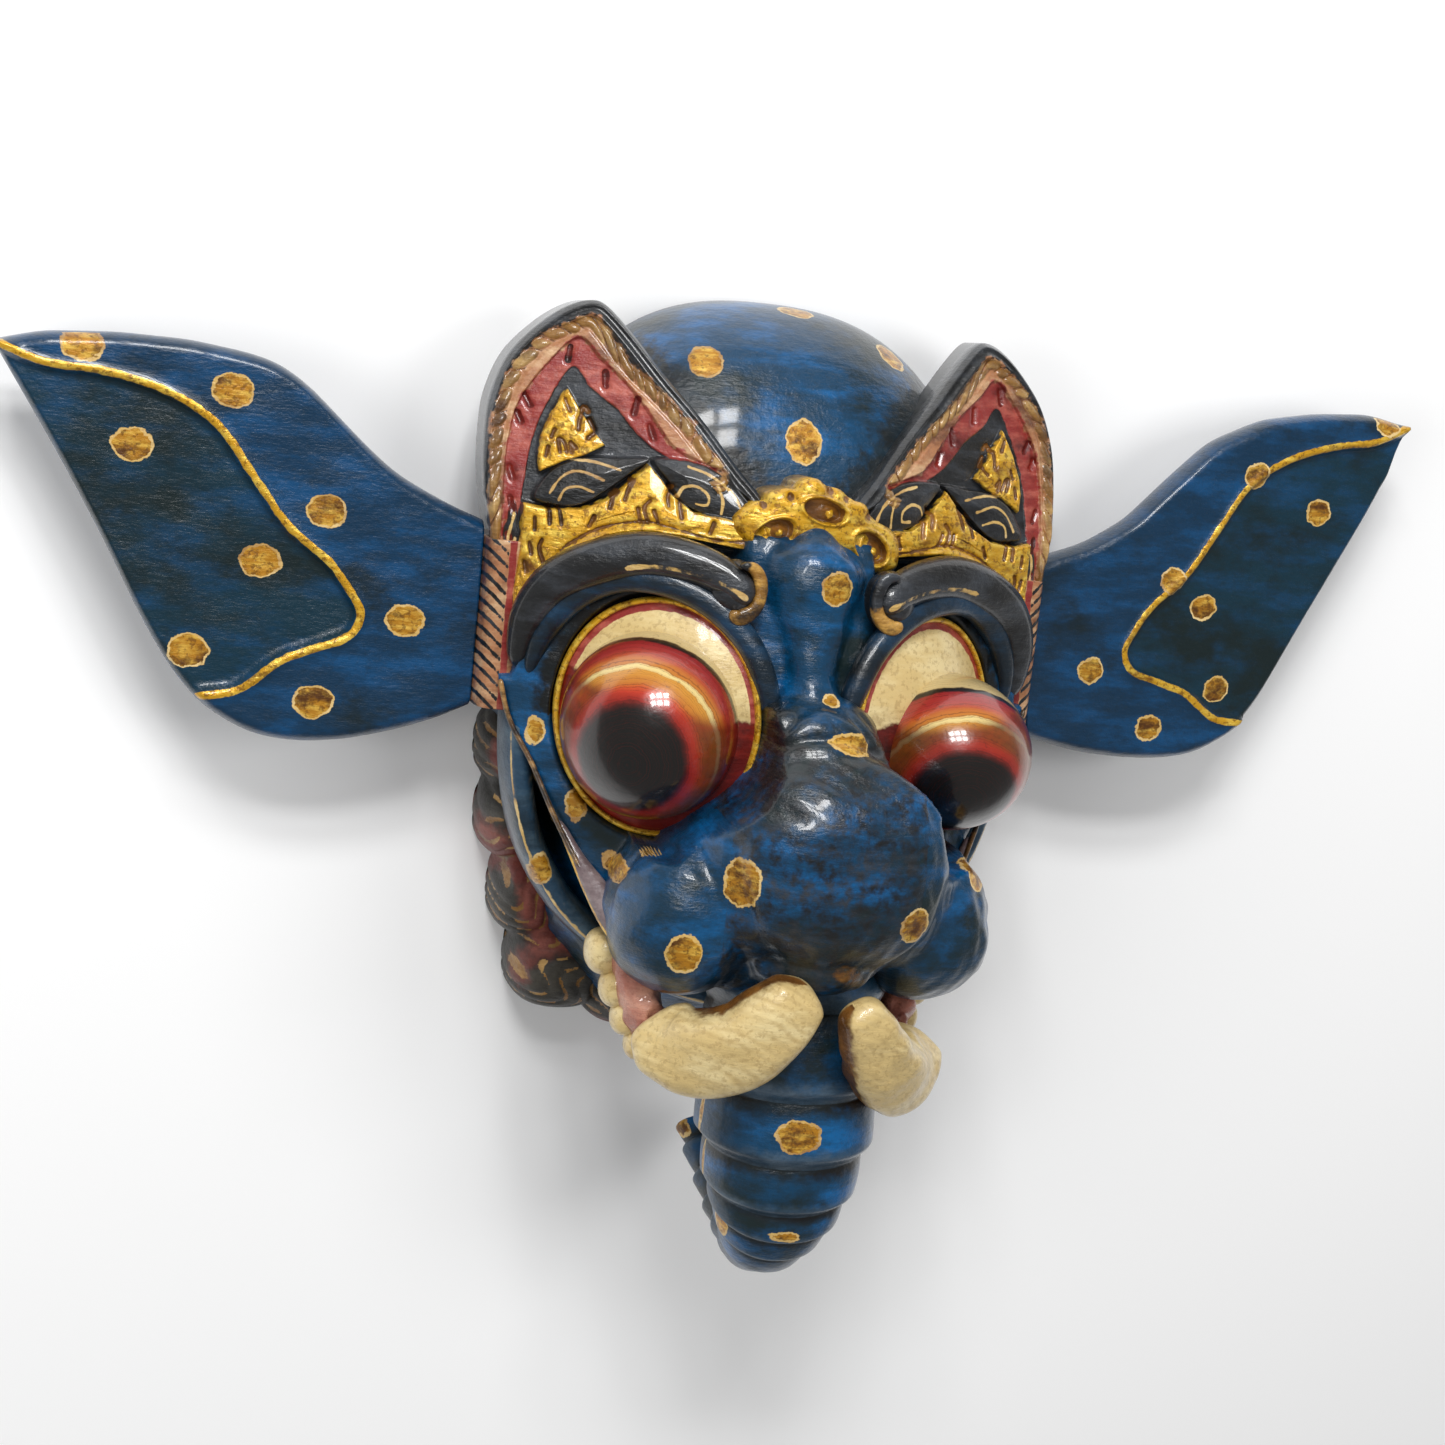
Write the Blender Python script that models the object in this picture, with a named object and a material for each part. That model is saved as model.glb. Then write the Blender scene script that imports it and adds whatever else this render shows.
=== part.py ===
"""A carved and painted wooden mask of an elephant-headed figure, with two plugged-in ears.

The mask lies on its flat, hollowed back: +X is to the viewer's right, +Y runs up the
forehead and +Z points out of the face. Sizes below are in millimetres and the carving is
laid out around the face centre line (X = 0) with Y = 0 between the eyes and Z = 0 on the
back rim. The last step moves everything so that the middle of the outer box stands on the
origin.
"""
import math

import bmesh
import bpy
import numpy as np
from mathutils import Matrix, Vector

MM = 0.001

# Head, seen from the front
HEAD_HALF_WIDTH = 89.0
JAW_HALF_WIDTH = 80.0
HEAD_CENTRE_Y = -8.0
CROWN_RISE = 132.0
CHIN_DROP = 130.0
DOME_HEIGHT = 70.0
DOME_FLATNESS = 3.2
DOME_ROUNDING = 2.2
DOME_STEPS_AROUND = 36
DOME_STEPS_UP = 9
DOME_FLOOR_Z = -4.0

# Hollow at the back
WALL = 15.0
HOLLOW_DEPTH = 48.0
HOLLOW_STEPS_AROUND = 24
HOLLOW_STEPS_UP = 6
HOLLOW_FLOOR_Z = -6.0
FLOOR_CUT_HALF = 300.0
FLOOR_CUT_DEPTH = 60.0

# Face, from the brows down to the muzzle
PROW_RIDGE = 20.0
FACE_FLOOR_Z = 26.0
EYE_X = 46.5
EYE_Y = -14.0
EYE_HALF_WIDTH = 29.5
EYE_HALF_HEIGHT = 38.0
EYE_RIM = 3.0
EYE_PLANE_Z = 80.8
EYE_SIDE_SLOPE = 0.59
EYE_UP_SLOPE = 0.057
WHITE_DEPTH = 22.0
WHITE_RISE = 10.0
BALL_Z = 82.0
BALLS = {-1: ((-48.6, -16.6), (29.0, 30.6, 33.5)), 1: ((55.3, -20.0), (28.5, 26.5, 33.5))}
BRIDGE_MIDDLE_Z = 72.0
SNOUT_MIDDLE_Z = 98.0
SNOUT_HALF_WIDTH = 44.5
SNOUT_X = 7.0
SNOUT_TIP_Z = 144.0
SNOUT_Y = -52.0
MUZZLE_LEAN = 4.0
PAD_X = 40.0
WING_X = 17.0
TUSK_THICKNESS = 13.5
TUSK_FLATNESS = 0.8
TRUNK_LEAN = 5.0
TRUNK_HALF_WIDTH = 31.0
TRUNK_RINGS = 9
TRUNK_RING_STEP = 1.6

# Crown side plates and the band under them
PLATE_PEAK_Z = 79.0
PLATE_SIDE_SLOPE = 0.38
PLATE_UP_SLOPE = 0.25
PLATE_THICKNESS = 19.0
PLATE_LEAF_THICKNESS = 6.0
PLATE_STEP = 2.5
BAND_RELIEF = 4.0
BAND_THICKNESS = 12.0
CREST_BASE_Z = 66.0
CREST_RELIEF = 20.0
CREST_HOLLOW_DEPTH = 4.0
CREST_HALF_WIDTH = 28.0
CREST_Y = 51.0
CREST_RISE = 14.0
CREST_DROP = 12.0

# Beard and jaw
BEARD_HEIGHT = 30.0
JAW_BAND_HALF_THICKNESS = 5.0
JAW_BAND_HALF_HEIGHT = 14.0

# Ears: boards with a tenon each, plugged into the temple blocks
TEMPLE_X = 100.0
TEMPLE_HALF_HEIGHT = 28.0
TEMPLE_Y = 9.0
TEMPLE_TOP_Z = 52.0
TEMPLE_FOOT_Z = 12.0
TEMPLE_WIDTH = 26.0
TEMPLE_BEVEL = 3.0
EAR_THICKNESS = 15.0
EAR_ROOT_Z = 33.0
EAR_TIP_SWEEP = 6.0
EAR_LENGTH = 157.0
EAR_PANEL_DEPTH = 2.5
EAR_TILT = {"ear_left": 0.0, "ear_right": 7.0}
# Edges of each ear board, as distance from its root and height above its middle line
EAR_UPPER = {"ear_left": [(0, 31), (10, 34.5), (20, 39), (30, 44), (40, 52), (50, 61), (60, 70),
                          (70, 76), (80, 78.4), (98, 80.6), (120, 80.8), (143, 79), (157, 75)],
             "ear_right": [(0, 31), (26, 37), (43, 45), (60, 59), (77, 72), (98, 79),
                           (120, 80.4), (143, 79.4), (157, 75)]}
EAR_LOWER = {"ear_left": [(0, -32), (10, -37), (24, -42), (40, -46), (53, -47.5), (64, -47),
                          (73, -45), (87, -37.5), (97, -27), (108, -10), (121, 14.5),
                          (136, 40), (157, 73)],
             "ear_right": [(0, -32), (10, -36), (24, -40.5), (40, -43.5), (53, -45), (64, -45),
                           (73, -43.4), (87, -37), (97, -26.5), (108, -9.5), (121, 10.5),
                           (136, 32), (150, 54), (157, 73)]}
TENON_LENGTH = 15.0
TENON_THICKNESS = 9.0
TENON_HALF_WIDTH = 20.0
FIT_GAP = 0.3
MORTISE_MOUTH = 10.0
TENON_OVERLAP = 6.0
SHOULDER_REACH = 40.0
SHOULDER_HALF_WIDTH = 60.0
SHOULDER_HALF_THICKNESS = 20.0
PANEL_CUT_THICKNESS = 12.0

COLOURS = {
    "mask": (0.010, 0.070, 0.190),
    "ear_left": (0.008, 0.062, 0.170),
    "ear_right": (0.008, 0.062, 0.170),
}


def smooth_path(points, count, closed=False):
    """A Catmull-Rom curve through the points, read at evenly spaced parameters."""
    pts = np.asarray(points, dtype=float)
    n = len(pts)
    spans = n if closed else n - 1
    out = []
    for i in range(count):
        t = i * spans / (count if closed else count - 1)
        k = min(int(t), spans - 1)
        f = t - k
        if closed:
            a, b, c, d = (pts[(k + j) % n] for j in (-1, 0, 1, 2))
        else:
            a, b, c, d = (pts[min(max(k + j, 0), n - 1)] for j in (-1, 0, 1, 2))
        out.append(0.5 * (2 * b + (c - a) * f + (2 * a - 5 * b + 4 * c - d) * f ** 2
                          + (3 * b - a - 3 * c + d) * f ** 3))
    return np.array(out)


def superellipse(count, power=2.0):
    """Unit points (cos, sin) around a superellipse of the given power."""
    t = np.arange(count) * 2 * math.pi / count
    c, s = np.cos(t), np.sin(t)
    e = 2.0 / power
    return np.sign(c) * np.abs(c) ** e, np.sign(s) * np.abs(s) ** e


def loft(name, rings):
    """One closed body through a stack of rings, closed at both ends, faces out."""
    bm = bmesh.new()
    loops = [[bm.verts.new(p) for p in ring] for ring in rings]
    size = len(loops[0])
    for low, high in zip(loops, loops[1:]):
        for i in range(size):
            j = (i + 1) % size
            bm.faces.new((low[i], low[j], high[j], high[i]))
    bm.faces.new(loops[0])
    bm.faces.new(loops[-1])
    bmesh.ops.remove_doubles(bm, verts=bm.verts[:], dist=0.01)
    bmesh.ops.recalc_face_normals(bm, faces=bm.faces[:])
    bmesh.ops.triangulate(bm, faces=[f for f in bm.faces if len(f.verts) > 4])
    mesh = bpy.data.meshes.new(name)
    bm.to_mesh(mesh)
    bm.free()
    mesh.transform(Matrix.Scale(MM, 4))
    return bpy.data.objects.new(name, mesh)


def blob(name, centre, radii, around=16, rows=8, power=2.0, tilt=0.0):
    """A rounded lump: a superellipsoid turned by tilt degrees about Z."""
    cx, sx = superellipse(around, power)
    turn = math.radians(tilt)
    rings = []
    for k in range(rows + 1):
        a = math.pi * (k + 0.02) / (rows + 0.04) - math.pi / 2
        e = 2.0 / power
        r = abs(math.cos(a)) ** e
        h = math.copysign(abs(math.sin(a)) ** e, math.sin(a))
        x = radii[0] * r * cx
        y = radii[1] * r * sx
        ring = np.stack([centre[0] + x * math.cos(turn) - y * math.sin(turn),
                         centre[1] + x * math.sin(turn) + y * math.cos(turn),
                         np.full(around, centre[2] + radii[2] * h)], axis=1)
        rings.append(ring)
    return loft(name, rings)


def sweep(name, path, across, along_z, around=10, power=2.0, upright=False):
    """A tube along a path: across is its half width, along_z its half height.

    The height runs along Z, or for an upright path in the middle plane it lies in that plane.
    """
    path = np.asarray(path, dtype=float)
    tangent = np.gradient(path, axis=0)
    tangent /= np.linalg.norm(tangent, axis=1)[:, None]
    if upright:
        u = np.tile((1.0, 0.0, 0.0), (len(path), 1))
    else:
        u = np.cross(tangent, (0.0, 0.0, 1.0))
        u /= np.linalg.norm(u, axis=1)[:, None]
    w = np.cross(u, tangent)
    c, s = superellipse(around, power)
    across = np.broadcast_to(across, len(path))
    along_z = np.broadcast_to(along_z, len(path))
    rings = [p + a * c[:, None] * uu + h * s[:, None] * ww
             for p, uu, ww, a, h in zip(path, u, w, across, along_z)]
    return loft(name, rings)


def slab(name, outline, front, thickness):
    """A plate with the given outline, its front on the plane or surface front(x, y)."""
    x, y = np.asarray(outline, dtype=float).T
    top = np.stack([x, y, front(x, y)], axis=1)
    low = top - np.array([0.0, 0.0, thickness])
    return loft(name, [low, top])


def mirrored(points, side):
    """The same points with X turned to the given side (-1 left, 1 right)."""
    pts = np.array(points, dtype=float)
    pts[:, 0] *= side
    return pts


def head_outline(count, inset=0.0):
    """The head from the front: a broad round crown above, a narrower jaw below."""
    t = np.arange(count) * 2 * math.pi / count
    c, s = np.cos(t), np.sin(t)
    upper = s >= 0
    power = np.where(upper, 2.5, 2.6)
    width = np.where(upper, HEAD_HALF_WIDTH, JAW_HALF_WIDTH
                     + (HEAD_HALF_WIDTH - JAW_HALF_WIDTH) * (1 - np.abs(s)) ** 2) - inset
    height = np.where(upper, CROWN_RISE, CHIN_DROP) - inset
    x = width * np.sign(c) * np.abs(c) ** (2 / power)
    y = HEAD_CENTRE_Y + height * np.sign(s) * np.abs(s) ** (2 / power)
    return x, y


def dome(name, inset, height, floor, around, rows):
    """The head as a round-fronted dome over its outline, from floor up to height."""
    x, y = head_outline(around, inset)
    rings = [np.stack([x, y, np.full(around, floor)], axis=1)]
    for k in range(rows):
        r = math.cos(0.5 * math.pi * k / rows) ** 0.5
        z = height * (1 - r ** DOME_FLATNESS) ** (1 / DOME_ROUNDING)
        rings.append(np.stack([x * r, HEAD_CENTRE_Y + (y - HEAD_CENTRE_Y) * r,
                               np.full(around, z)], axis=1))
    return loft(name, rings)


def cheeks():
    """The blue face: cross sections that narrow down the mouth line and rise to the muzzle."""
    down = [48, 20, -10, -30, -50, -68, -84, -98]
    half = [86, 92, 94, 85, 75, 65, 54, 42]
    edge = [56, 56, 56, 60, 68, 76, 88, 94]
    ridge = [84, 91, 95, 97, 103, 111, 115, 108]
    stations = smooth_path(np.stack([down, half, edge, ridge], axis=1), 15)
    rings = []
    for y, w, ze, zr in stations:
        x = [-w + 5, -w, -w, -(w * 0.6 + PROW_RIDGE * 0.4), -PROW_RIDGE, 0.0,
             PROW_RIDGE, w * 0.6 + PROW_RIDGE * 0.4, w, w, w - 5]
        z = [FACE_FLOOR_Z, ze - 14, ze, ze + (zr - ze) * 0.52, zr, zr + 2.0,
             zr, ze + (zr - ze) * 0.52, ze, ze - 14, FACE_FLOOR_Z]
        rings.append(np.stack([x, np.full(len(x), y), z], axis=1))
    return [loft("cheeks", rings)]


def snout():
    """Bridge knob, two wrinkles, the round snout and its two side pads."""
    y = [50, 44, 36, 24, 12, 3, -7, -16]
    half = [7, 15, 20, 18.5, 13, 11, 15, 21]
    top = [88, 95, 99, 100, 101, 104, 110, 112]
    c, s = superellipse(14, 2.3)
    rings = []
    for yy, w, zt in smooth_path(np.stack([y, half, top], axis=1), 12):
        rings.append(np.stack([w * c, np.full(14, yy),
                               BRIDGE_MIDDLE_Z + (zt - BRIDGE_MIDDLE_Z) * s], axis=1))
    forms = [loft("bridge", rings)]
    forms.append(blob("wrinkle", (0, -22, 100), (27, 20, 25), 16, 8, 2.1))
    half_depth = SNOUT_TIP_Z - SNOUT_MIDDLE_Z
    forms.append(blob("snout", (SNOUT_X, SNOUT_Y, SNOUT_MIDDLE_Z), (SNOUT_HALF_WIDTH, 39, half_depth),
                      18, 12, 2.3))
    for side in (-1, 1):
        forms.append(blob("snout_wing", (MUZZLE_LEAN + side * WING_X, -34, 103), (21, 24, 24),
                          14, 8, 2.2))
        forms.append(blob("snout_pad", (MUZZLE_LEAN + side * PAD_X, -73, 95), (24, 28, 31), 14, 8,
                          2.1, side * 14))
    return forms


def eyes():
    """Each eye: a low dome of white, a drooping ball and a raised rim on a slanted plane."""
    forms = []
    for side in (-1, 1):
        centre = (side * EYE_X, EYE_Y)
        t = np.linspace(0, 2 * math.pi, 24, endpoint=False)
        x = centre[0] + EYE_HALF_WIDTH * np.cos(t)
        y = centre[1] + EYE_HALF_HEIGHT * np.sin(t)
        z = rim_height(x, y)
        loop = np.stack([x, y, z], axis=1)
        tangent = np.roll(loop, -1, axis=0) - np.roll(loop, 1, axis=0)
        tangent /= np.linalg.norm(tangent, axis=1)[:, None]
        u = np.cross(tangent, (0.0, 0.0, 1.0))
        u /= np.linalg.norm(u, axis=1)[:, None]
        w = np.cross(u, tangent)
        c, s = superellipse(6)
        forms.append(ring_tube("eye_rim", [p + EYE_RIM * (c[:, None] * a + s[:, None] * b)
                                           for p, a, b in zip(loop, u, w)]))
        white = [np.stack([centre[0] + (x - centre[0]) * r, centre[1] + (y - centre[1]) * r,
                           z + h], axis=1)
                 for r, h in ((1.0, -WHITE_DEPTH), (1.0, -1), (0.86, 0.4 * WHITE_RISE),
                              (0.6, 0.8 * WHITE_RISE), (0.25, WHITE_RISE))]
        forms.append(loft("eye_white", white))
        place, radii = BALLS[side]
        forms.append(blob("eye_ball", (*place, BALL_Z), radii, 18, 10))
    return forms


def rim_height(x, y):
    """Height of the slanted plane that an eye rim lies on."""
    return EYE_PLANE_Z + EYE_SIDE_SLOPE * (EYE_X - np.abs(x)) - EYE_UP_SLOPE * (y - EYE_Y)


def ring_tube(name, sections):
    """A closed tube around a loop of cross sections."""
    bm = bmesh.new()
    loops = [[bm.verts.new(p) for p in ring] for ring in sections]
    size = len(loops[0])
    for k, low in enumerate(loops):
        high = loops[(k + 1) % len(loops)]
        for i in range(size):
            j = (i + 1) % size
            bm.faces.new((low[i], low[j], high[j], high[i]))
    bmesh.ops.recalc_face_normals(bm, faces=bm.faces[:])
    mesh = bpy.data.meshes.new(name)
    bm.to_mesh(mesh)
    bm.free()
    mesh.transform(Matrix.Scale(MM, 4))
    return bpy.data.objects.new(name, mesh)


def brows():
    """The black rolls over the eyes, each ending in a curl beside the bridge."""
    forms = []
    way = [(88, 0, 56), (87, 13, 59), (80, 26, 64), (68, 34, 71), (54, 38, 77), (40, 37, 84),
           (29, 33, 90), (22, 27, 94)]
    thick = [4, 6, 7, 7.5, 7.5, 7, 6, 5]
    for side in (-1, 1):
        path = smooth_path(mirrored(way, side), 13)
        radius = smooth_path(np.stack([thick, thick], axis=1), 13)[:, 0]
        forms.append(sweep("brow", path, radius, radius, 8))
        forms.append(blob("brow_curl", (side * 25, 28, 92), (7.5, 7.5, 7), 10, 6))
    return forms


def plate_front(x, y):
    """Front of a crown side plate: it falls away to the side and towards its point."""
    return (PLATE_PEAK_Z - PLATE_SIDE_SLOPE * (np.abs(x) - 19)
            - PLATE_UP_SLOPE * np.maximum(y - 50, 0))


PLATE_POINTS = [(15, 57), (36, 84), (56, 103), (70, 117)]
PLATE_OUTER = [(70, 117), (87, 109), (98, 94), (102, 76), (102, 56), (99, 38)]
PLATE_LOWER = [(94, 14), (82, 28), (60, 38), (36, 40), (18, 42)]


def plate_outline():
    """Outline of a side plate, a curved triangle with its lower edge on the brow."""
    inner = np.array(PLATE_POINTS, dtype=float)
    outer = smooth_path(PLATE_OUTER, 8)
    return np.concatenate([inner[:-1], outer, np.array(PLATE_LOWER, dtype=float)])


def crown():
    """Side plates with stepped borders, gold leaves, the gold band and the central crest."""
    forms = []
    for side in (-1, 1):
        forms.append(slab("side_plate", mirrored(plate_outline(), side), plate_front,
                          PLATE_THICKNESS))
        leaf = [(64, 62), (76, 70), (94, 60), (94, 74), (90, 84), (80, 94), (72, 84), (64, 74)]
        forms.append(slab("plate_leaf", mirrored(leaf, side),
                          lambda x, y: plate_front(x, y) + PLATE_STEP,
                          PLATE_LEAF_THICKNESS))
        upper = [(22, 51), (37, 54), (46, 60), (52, 68), (57, 60), (68, 53), (81, 49), (91, 50)]
        lower = [(94, 4), (90, 22), (81, 35), (69, 43), (55, 46), (38, 45), (20, 42)]
        forms.append(slab("gold_band", mirrored(upper + lower, side),
                          lambda x, y: plate_front(x, y) + BAND_RELIEF,
                          BAND_THICKNESS))
    steps = 36
    t = np.arange(steps) * 2 * math.pi / steps
    scallop = 1.0 + 0.10 * np.abs(np.sin(4.5 * t))
    x = CREST_HALF_WIDTH * scallop * np.cos(t)
    rise = np.where(np.sin(t) > 0, CREST_RISE, CREST_DROP)
    y = CREST_Y + rise * scallop * np.sin(t) - 0.004 * x ** 2
    top = CREST_BASE_Z + CREST_RELIEF - 0.008 * x ** 2
    crest = [np.stack([x, y, np.full(steps, CREST_BASE_Z)], axis=1),
             np.stack([x, y, top], axis=1),
             np.stack([x * 0.72, CREST_Y + (y - CREST_Y) * 0.72, top + 4.0], axis=1)]
    forms.append(loft("crest", crest))
    return forms


def panel_cuts():
    """The sunk field inside each side plate's border and the three hollows of the crest."""
    top = CREST_BASE_Z + CREST_RELIEF + 4.0
    cuts = [blob("crest_hollow", (x, y, top), (6.5, 4.0, CREST_HOLLOW_DEPTH), 8, 4, 2.0, tilt)
            for x, y, tilt in ((-13.0, 49.0, 28.0), (2.0, 57.0, -10.0), (17.0, 47.0, -34.0))]
    field = [(33, 66), (56, 88), (72, 104), (84, 99), (92, 88), (95, 74), (95, 58), (60, 55),
             (40, 58)]
    for side in (-1, 1):
        cuts.append(slab("plate_field", mirrored(field, side),
                         lambda x, y: plate_front(x, y) + PLATE_LEAF_THICKNESS,
                         PLATE_LEAF_THICKNESS + PLATE_STEP))
    return cuts


def temples():
    """The blocks that the ears plug into, faced with the striped strips."""
    forms = []
    for side in (-1, 1):
        low, high = TEMPLE_Y - TEMPLE_HALF_HEIGHT, TEMPLE_Y + TEMPLE_HALF_HEIGHT
        inner, x, foot, top = TEMPLE_X - TEMPLE_WIDTH, TEMPLE_X, TEMPLE_FOOT_Z, TEMPLE_TOP_Z
        rings = [[(side * inner, y, foot), (side * x, y, foot), (side * x, y, top - TEMPLE_BEVEL),
                  (side * (x - TEMPLE_BEVEL), y, top), (side * inner, y, top + TEMPLE_BEVEL)]
                 for y in (low, high)]
        forms.append(loft("temple", rings))
    return forms


def jaw():
    """Jaw band, lips, gums and back teeth, and the lobed beard behind them."""
    forms = []
    way = [(86, -16, 46), (83, -40, 45), (75, -61, 44), (62, -80, 44), (47, -96, 44),
           (32, -108, 44), (16, -114, 44), (0, -116, 44)]
    left = mirrored(way, -1)
    whole = np.concatenate([left, mirrored(way[:-1], 1)[::-1]])
    path = smooth_path(whole, 33)
    forms.append(sweep("jaw_band", path, JAW_BAND_HALF_THICKNESS, JAW_BAND_HALF_HEIGHT, 8, 2.6))
    lobes = [(77, -38, 14, 15), (73, -63, 15, 16), (66, -90, 15, 17), (55, -115, 19, 19),
             (30, -126, 16, 13), (8, -130, 14, 12)]
    for side in (-1, 1):
        for x, y, rx, ry in lobes:
            forms.append(blob("beard_lobe", (side * x, y, 2), (rx, ry, BEARD_HEIGHT), 10, 6, 2.3))
        gum = [(66, -66, 78), (60, -80, 88), (53, -94, 96), (47, -106, 102)]
        forms.append(sweep("gum", smooth_path(mirrored(gum, side), 7), (4, 7, 9, 10, 10, 9, 6),
                           12, 8, 2.2))
        teeth = [((60, -88, 84), 6.5), ((55, -99, 90), 6.0), ((50, -108, 94), 5.5)]
        for (x, y, z), r in teeth:
            forms.append(blob("tooth", (side * x, y, z), (r, r * 1.1, r * 1.4), 8, 6, 2.3))
    return forms


def tusks():
    """Two crescent tusks that sweep from the mouth corners up to meet under the snout."""
    forms = []
    ways = {-1: [(-43, -109, 104, 0.84), (-38, -114.5, 113, 0.97), (-30, -114.5, 121, 1.0),
                 (-21, -109.5, 128, 0.98), (-13, -100, 134, 0.88), (-7, -92, 138, 0.66),
                 (-4, -87, 140, 0.4)],
            1: [(47, -116, 98, 0.80), (42, -121, 108, 0.92), (35, -121, 118, 0.94),
                (27, -114, 127, 0.86), (19, -103, 134, 0.68), (13, -92, 138, 0.46)]}
    for way in ways.values():
        stations = smooth_path(way, 13)
        size = stations[:, 3] * TUSK_THICKNESS
        forms.append(sweep("tusk", stations[:, :3], size, size * TUSK_FLATNESS, 10, 2.4))
    return forms


def trunk():
    """The ringed trunk: down from the mouth, then curling back to a blunt, flared tip."""
    way = [(2.6, -80, 84), (2.6, -108, 91), (2.6, -134, 94), (2.4, -156, 96), (1.8, -174, 95),
           (0.9, -188, 88), (0.3, -194, 74), (0, -191, 58), (0, -182, 42), (0, -171, 27)]
    half = [29, 31, 31, 28, 22, 14.5, 10, 10, 12, 15]
    deep = [28, 29, 28, 25, 20, 14, 10, 8, 8, 7]
    count = TRUNK_RINGS * 4 + 1
    stations = smooth_path(np.column_stack([way, half, deep]), count)
    path = stations[:, :3] + np.array([TRUNK_LEAN, 0.0, 0.0])
    fade = np.clip((0.75 * count - np.arange(count)) / 4, 0.2, 1.0)
    step = TRUNK_RING_STEP * fade * np.array([-1.0, 0.2, 0.8, 1.0])[np.arange(count) % 4]
    across = (stations[:, 3] + step) * TRUNK_HALF_WIDTH / 31.0
    return [sweep("trunk", path, across, stations[:, 4] + step, 14, 2.9, True)]


def ear_edges(name, u):
    """Lower and upper edge of an ear board at distance u from its root."""
    upper = np.array(EAR_UPPER[name], dtype=float)
    lower = np.array(EAR_LOWER[name], dtype=float)
    upper[:, 0] *= EAR_LENGTH / 157.0
    lower[:, 0] *= EAR_LENGTH / 157.0
    return np.interp(u, *lower.T), np.interp(u, *upper.T)


def ear_board(name):
    """The board of one ear: rounded edges, a flat underside and a tenon at its root."""
    rings = []
    half = EAR_THICKNESS / 2
    stations = np.concatenate([[-6, 2], np.linspace(10, EAR_LENGTH - 6, 18),
                               [EAR_LENGTH - 2, EAR_LENGTH]])
    for u in stations:
        low, high = ear_edges(name, u)
        high = max(high, low + 2.0)
        z = -EAR_TIP_SWEEP * (max(u, 0) / EAR_LENGTH) ** 1.5
        edge = min(5.0, (high - low) * 0.25)
        ring = [(u, low + edge, z - half), (u, low + 1, z - half * 0.5), (u, low, z),
                (u, low + 1, z + half * 0.6), (u, low + edge, z + half),
                (u, high - edge, z + half), (u, high - 1, z + half * 0.6), (u, high, z),
                (u, high - 1, z - half * 0.5), (u, high - edge, z - half)]
        rings.append(ring)
    return loft(name, rings)


def tenon_box(name, gap=0.0, reach=0.0):
    """The ear's tenon, or with a gap the mortise that takes it."""
    half_t = TENON_THICKNESS / 2 + gap
    half_w = TENON_HALF_WIDTH + gap
    rings = [[(u, -half_w, -half_t), (u, half_w, -half_t), (u, half_w, half_t),
              (u, -half_w, half_t)] for u in (-TENON_LENGTH - gap, reach)]
    return loft(name, rings)


def ear_place(name, side):
    """Where an ear sits: turned up by its own tilt about its root, and mirrored on the left."""
    tilt = math.radians(EAR_TILT[name])
    turn = Matrix.Rotation(tilt, 4, "Z")
    root = Matrix.Translation(Vector((TEMPLE_X + FIT_GAP, TEMPLE_Y + 2, EAR_ROOT_Z)) * MM)
    flip = Matrix.Scale(side, 4, (1, 0, 0))
    return flip @ root, turn


def settle(obj, matrix):
    """Put a matrix into the object's mesh and turn the faces out again."""
    obj.data.transform(matrix)
    bm = bmesh.new()
    bm.from_mesh(obj.data)
    bmesh.ops.recalc_face_normals(bm, faces=bm.faces[:])
    bm.to_mesh(obj.data)
    bm.free()
    return obj


def finish(name):
    """The painted wood of one piece."""
    material = bpy.data.materials.new(name + "_paint")
    material.use_nodes = True
    shader = material.node_tree.nodes["Principled BSDF"]
    shader.inputs["Base Color"].default_value = (*COLOURS[name], 1.0)
    shader.inputs["Roughness"].default_value = 0.3
    shader.inputs["Metallic"].default_value = 0.0
    return material


def hidden(objects, collection):
    """Keep construction forms in their own collection, out of renders."""
    for obj in objects:
        collection.objects.link(obj)
        obj.hide_render = True
        obj.display_type = "WIRE"


def boolean(obj, operation, collection):
    """Join or cut with every form in a collection."""
    step = obj.modifiers.new(operation.title(), "BOOLEAN")
    step.operation = operation
    step.operand_type = "COLLECTION"
    step.collection = collection
    step.solver = "EXACT"


def solid_wood(obj):
    """Bake the carving into the block and fill the pockets that its forms close off."""
    shapes = bpy.context.evaluated_depsgraph_get()
    baked = bpy.data.meshes.new_from_object(obj.evaluated_get(shapes))
    bm = bmesh.new()
    bm.from_mesh(baked)
    bmesh.ops.remove_doubles(bm, verts=bm.verts[:], dist=0.02 * MM)
    bmesh.ops.dissolve_degenerate(bm, edges=bm.edges[:], dist=0.02 * MM)
    shells = []
    waiting = set(bm.verts)
    while waiting:
        shell = {waiting.pop()}
        front = list(shell)
        while front:
            vert = front.pop()
            near = {edge.other_vert(vert) for edge in vert.link_edges} - shell
            shell |= near
            front += near
        waiting -= shell
        shells.append(shell)
    outer = max(shells, key=len)
    bmesh.ops.delete(bm, geom=[v for v in bm.verts if v not in outer], context="VERTS")
    bmesh.ops.triangulate(bm, faces=bm.faces[:])
    bm.to_mesh(baked)
    bm.free()
    obj.modifiers.clear()
    obj.data = baked


def new_collection(name):
    """A collection in the scene."""
    collection = bpy.data.collections.new(name)
    bpy.context.scene.collection.children.link(collection)
    return collection


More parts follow.
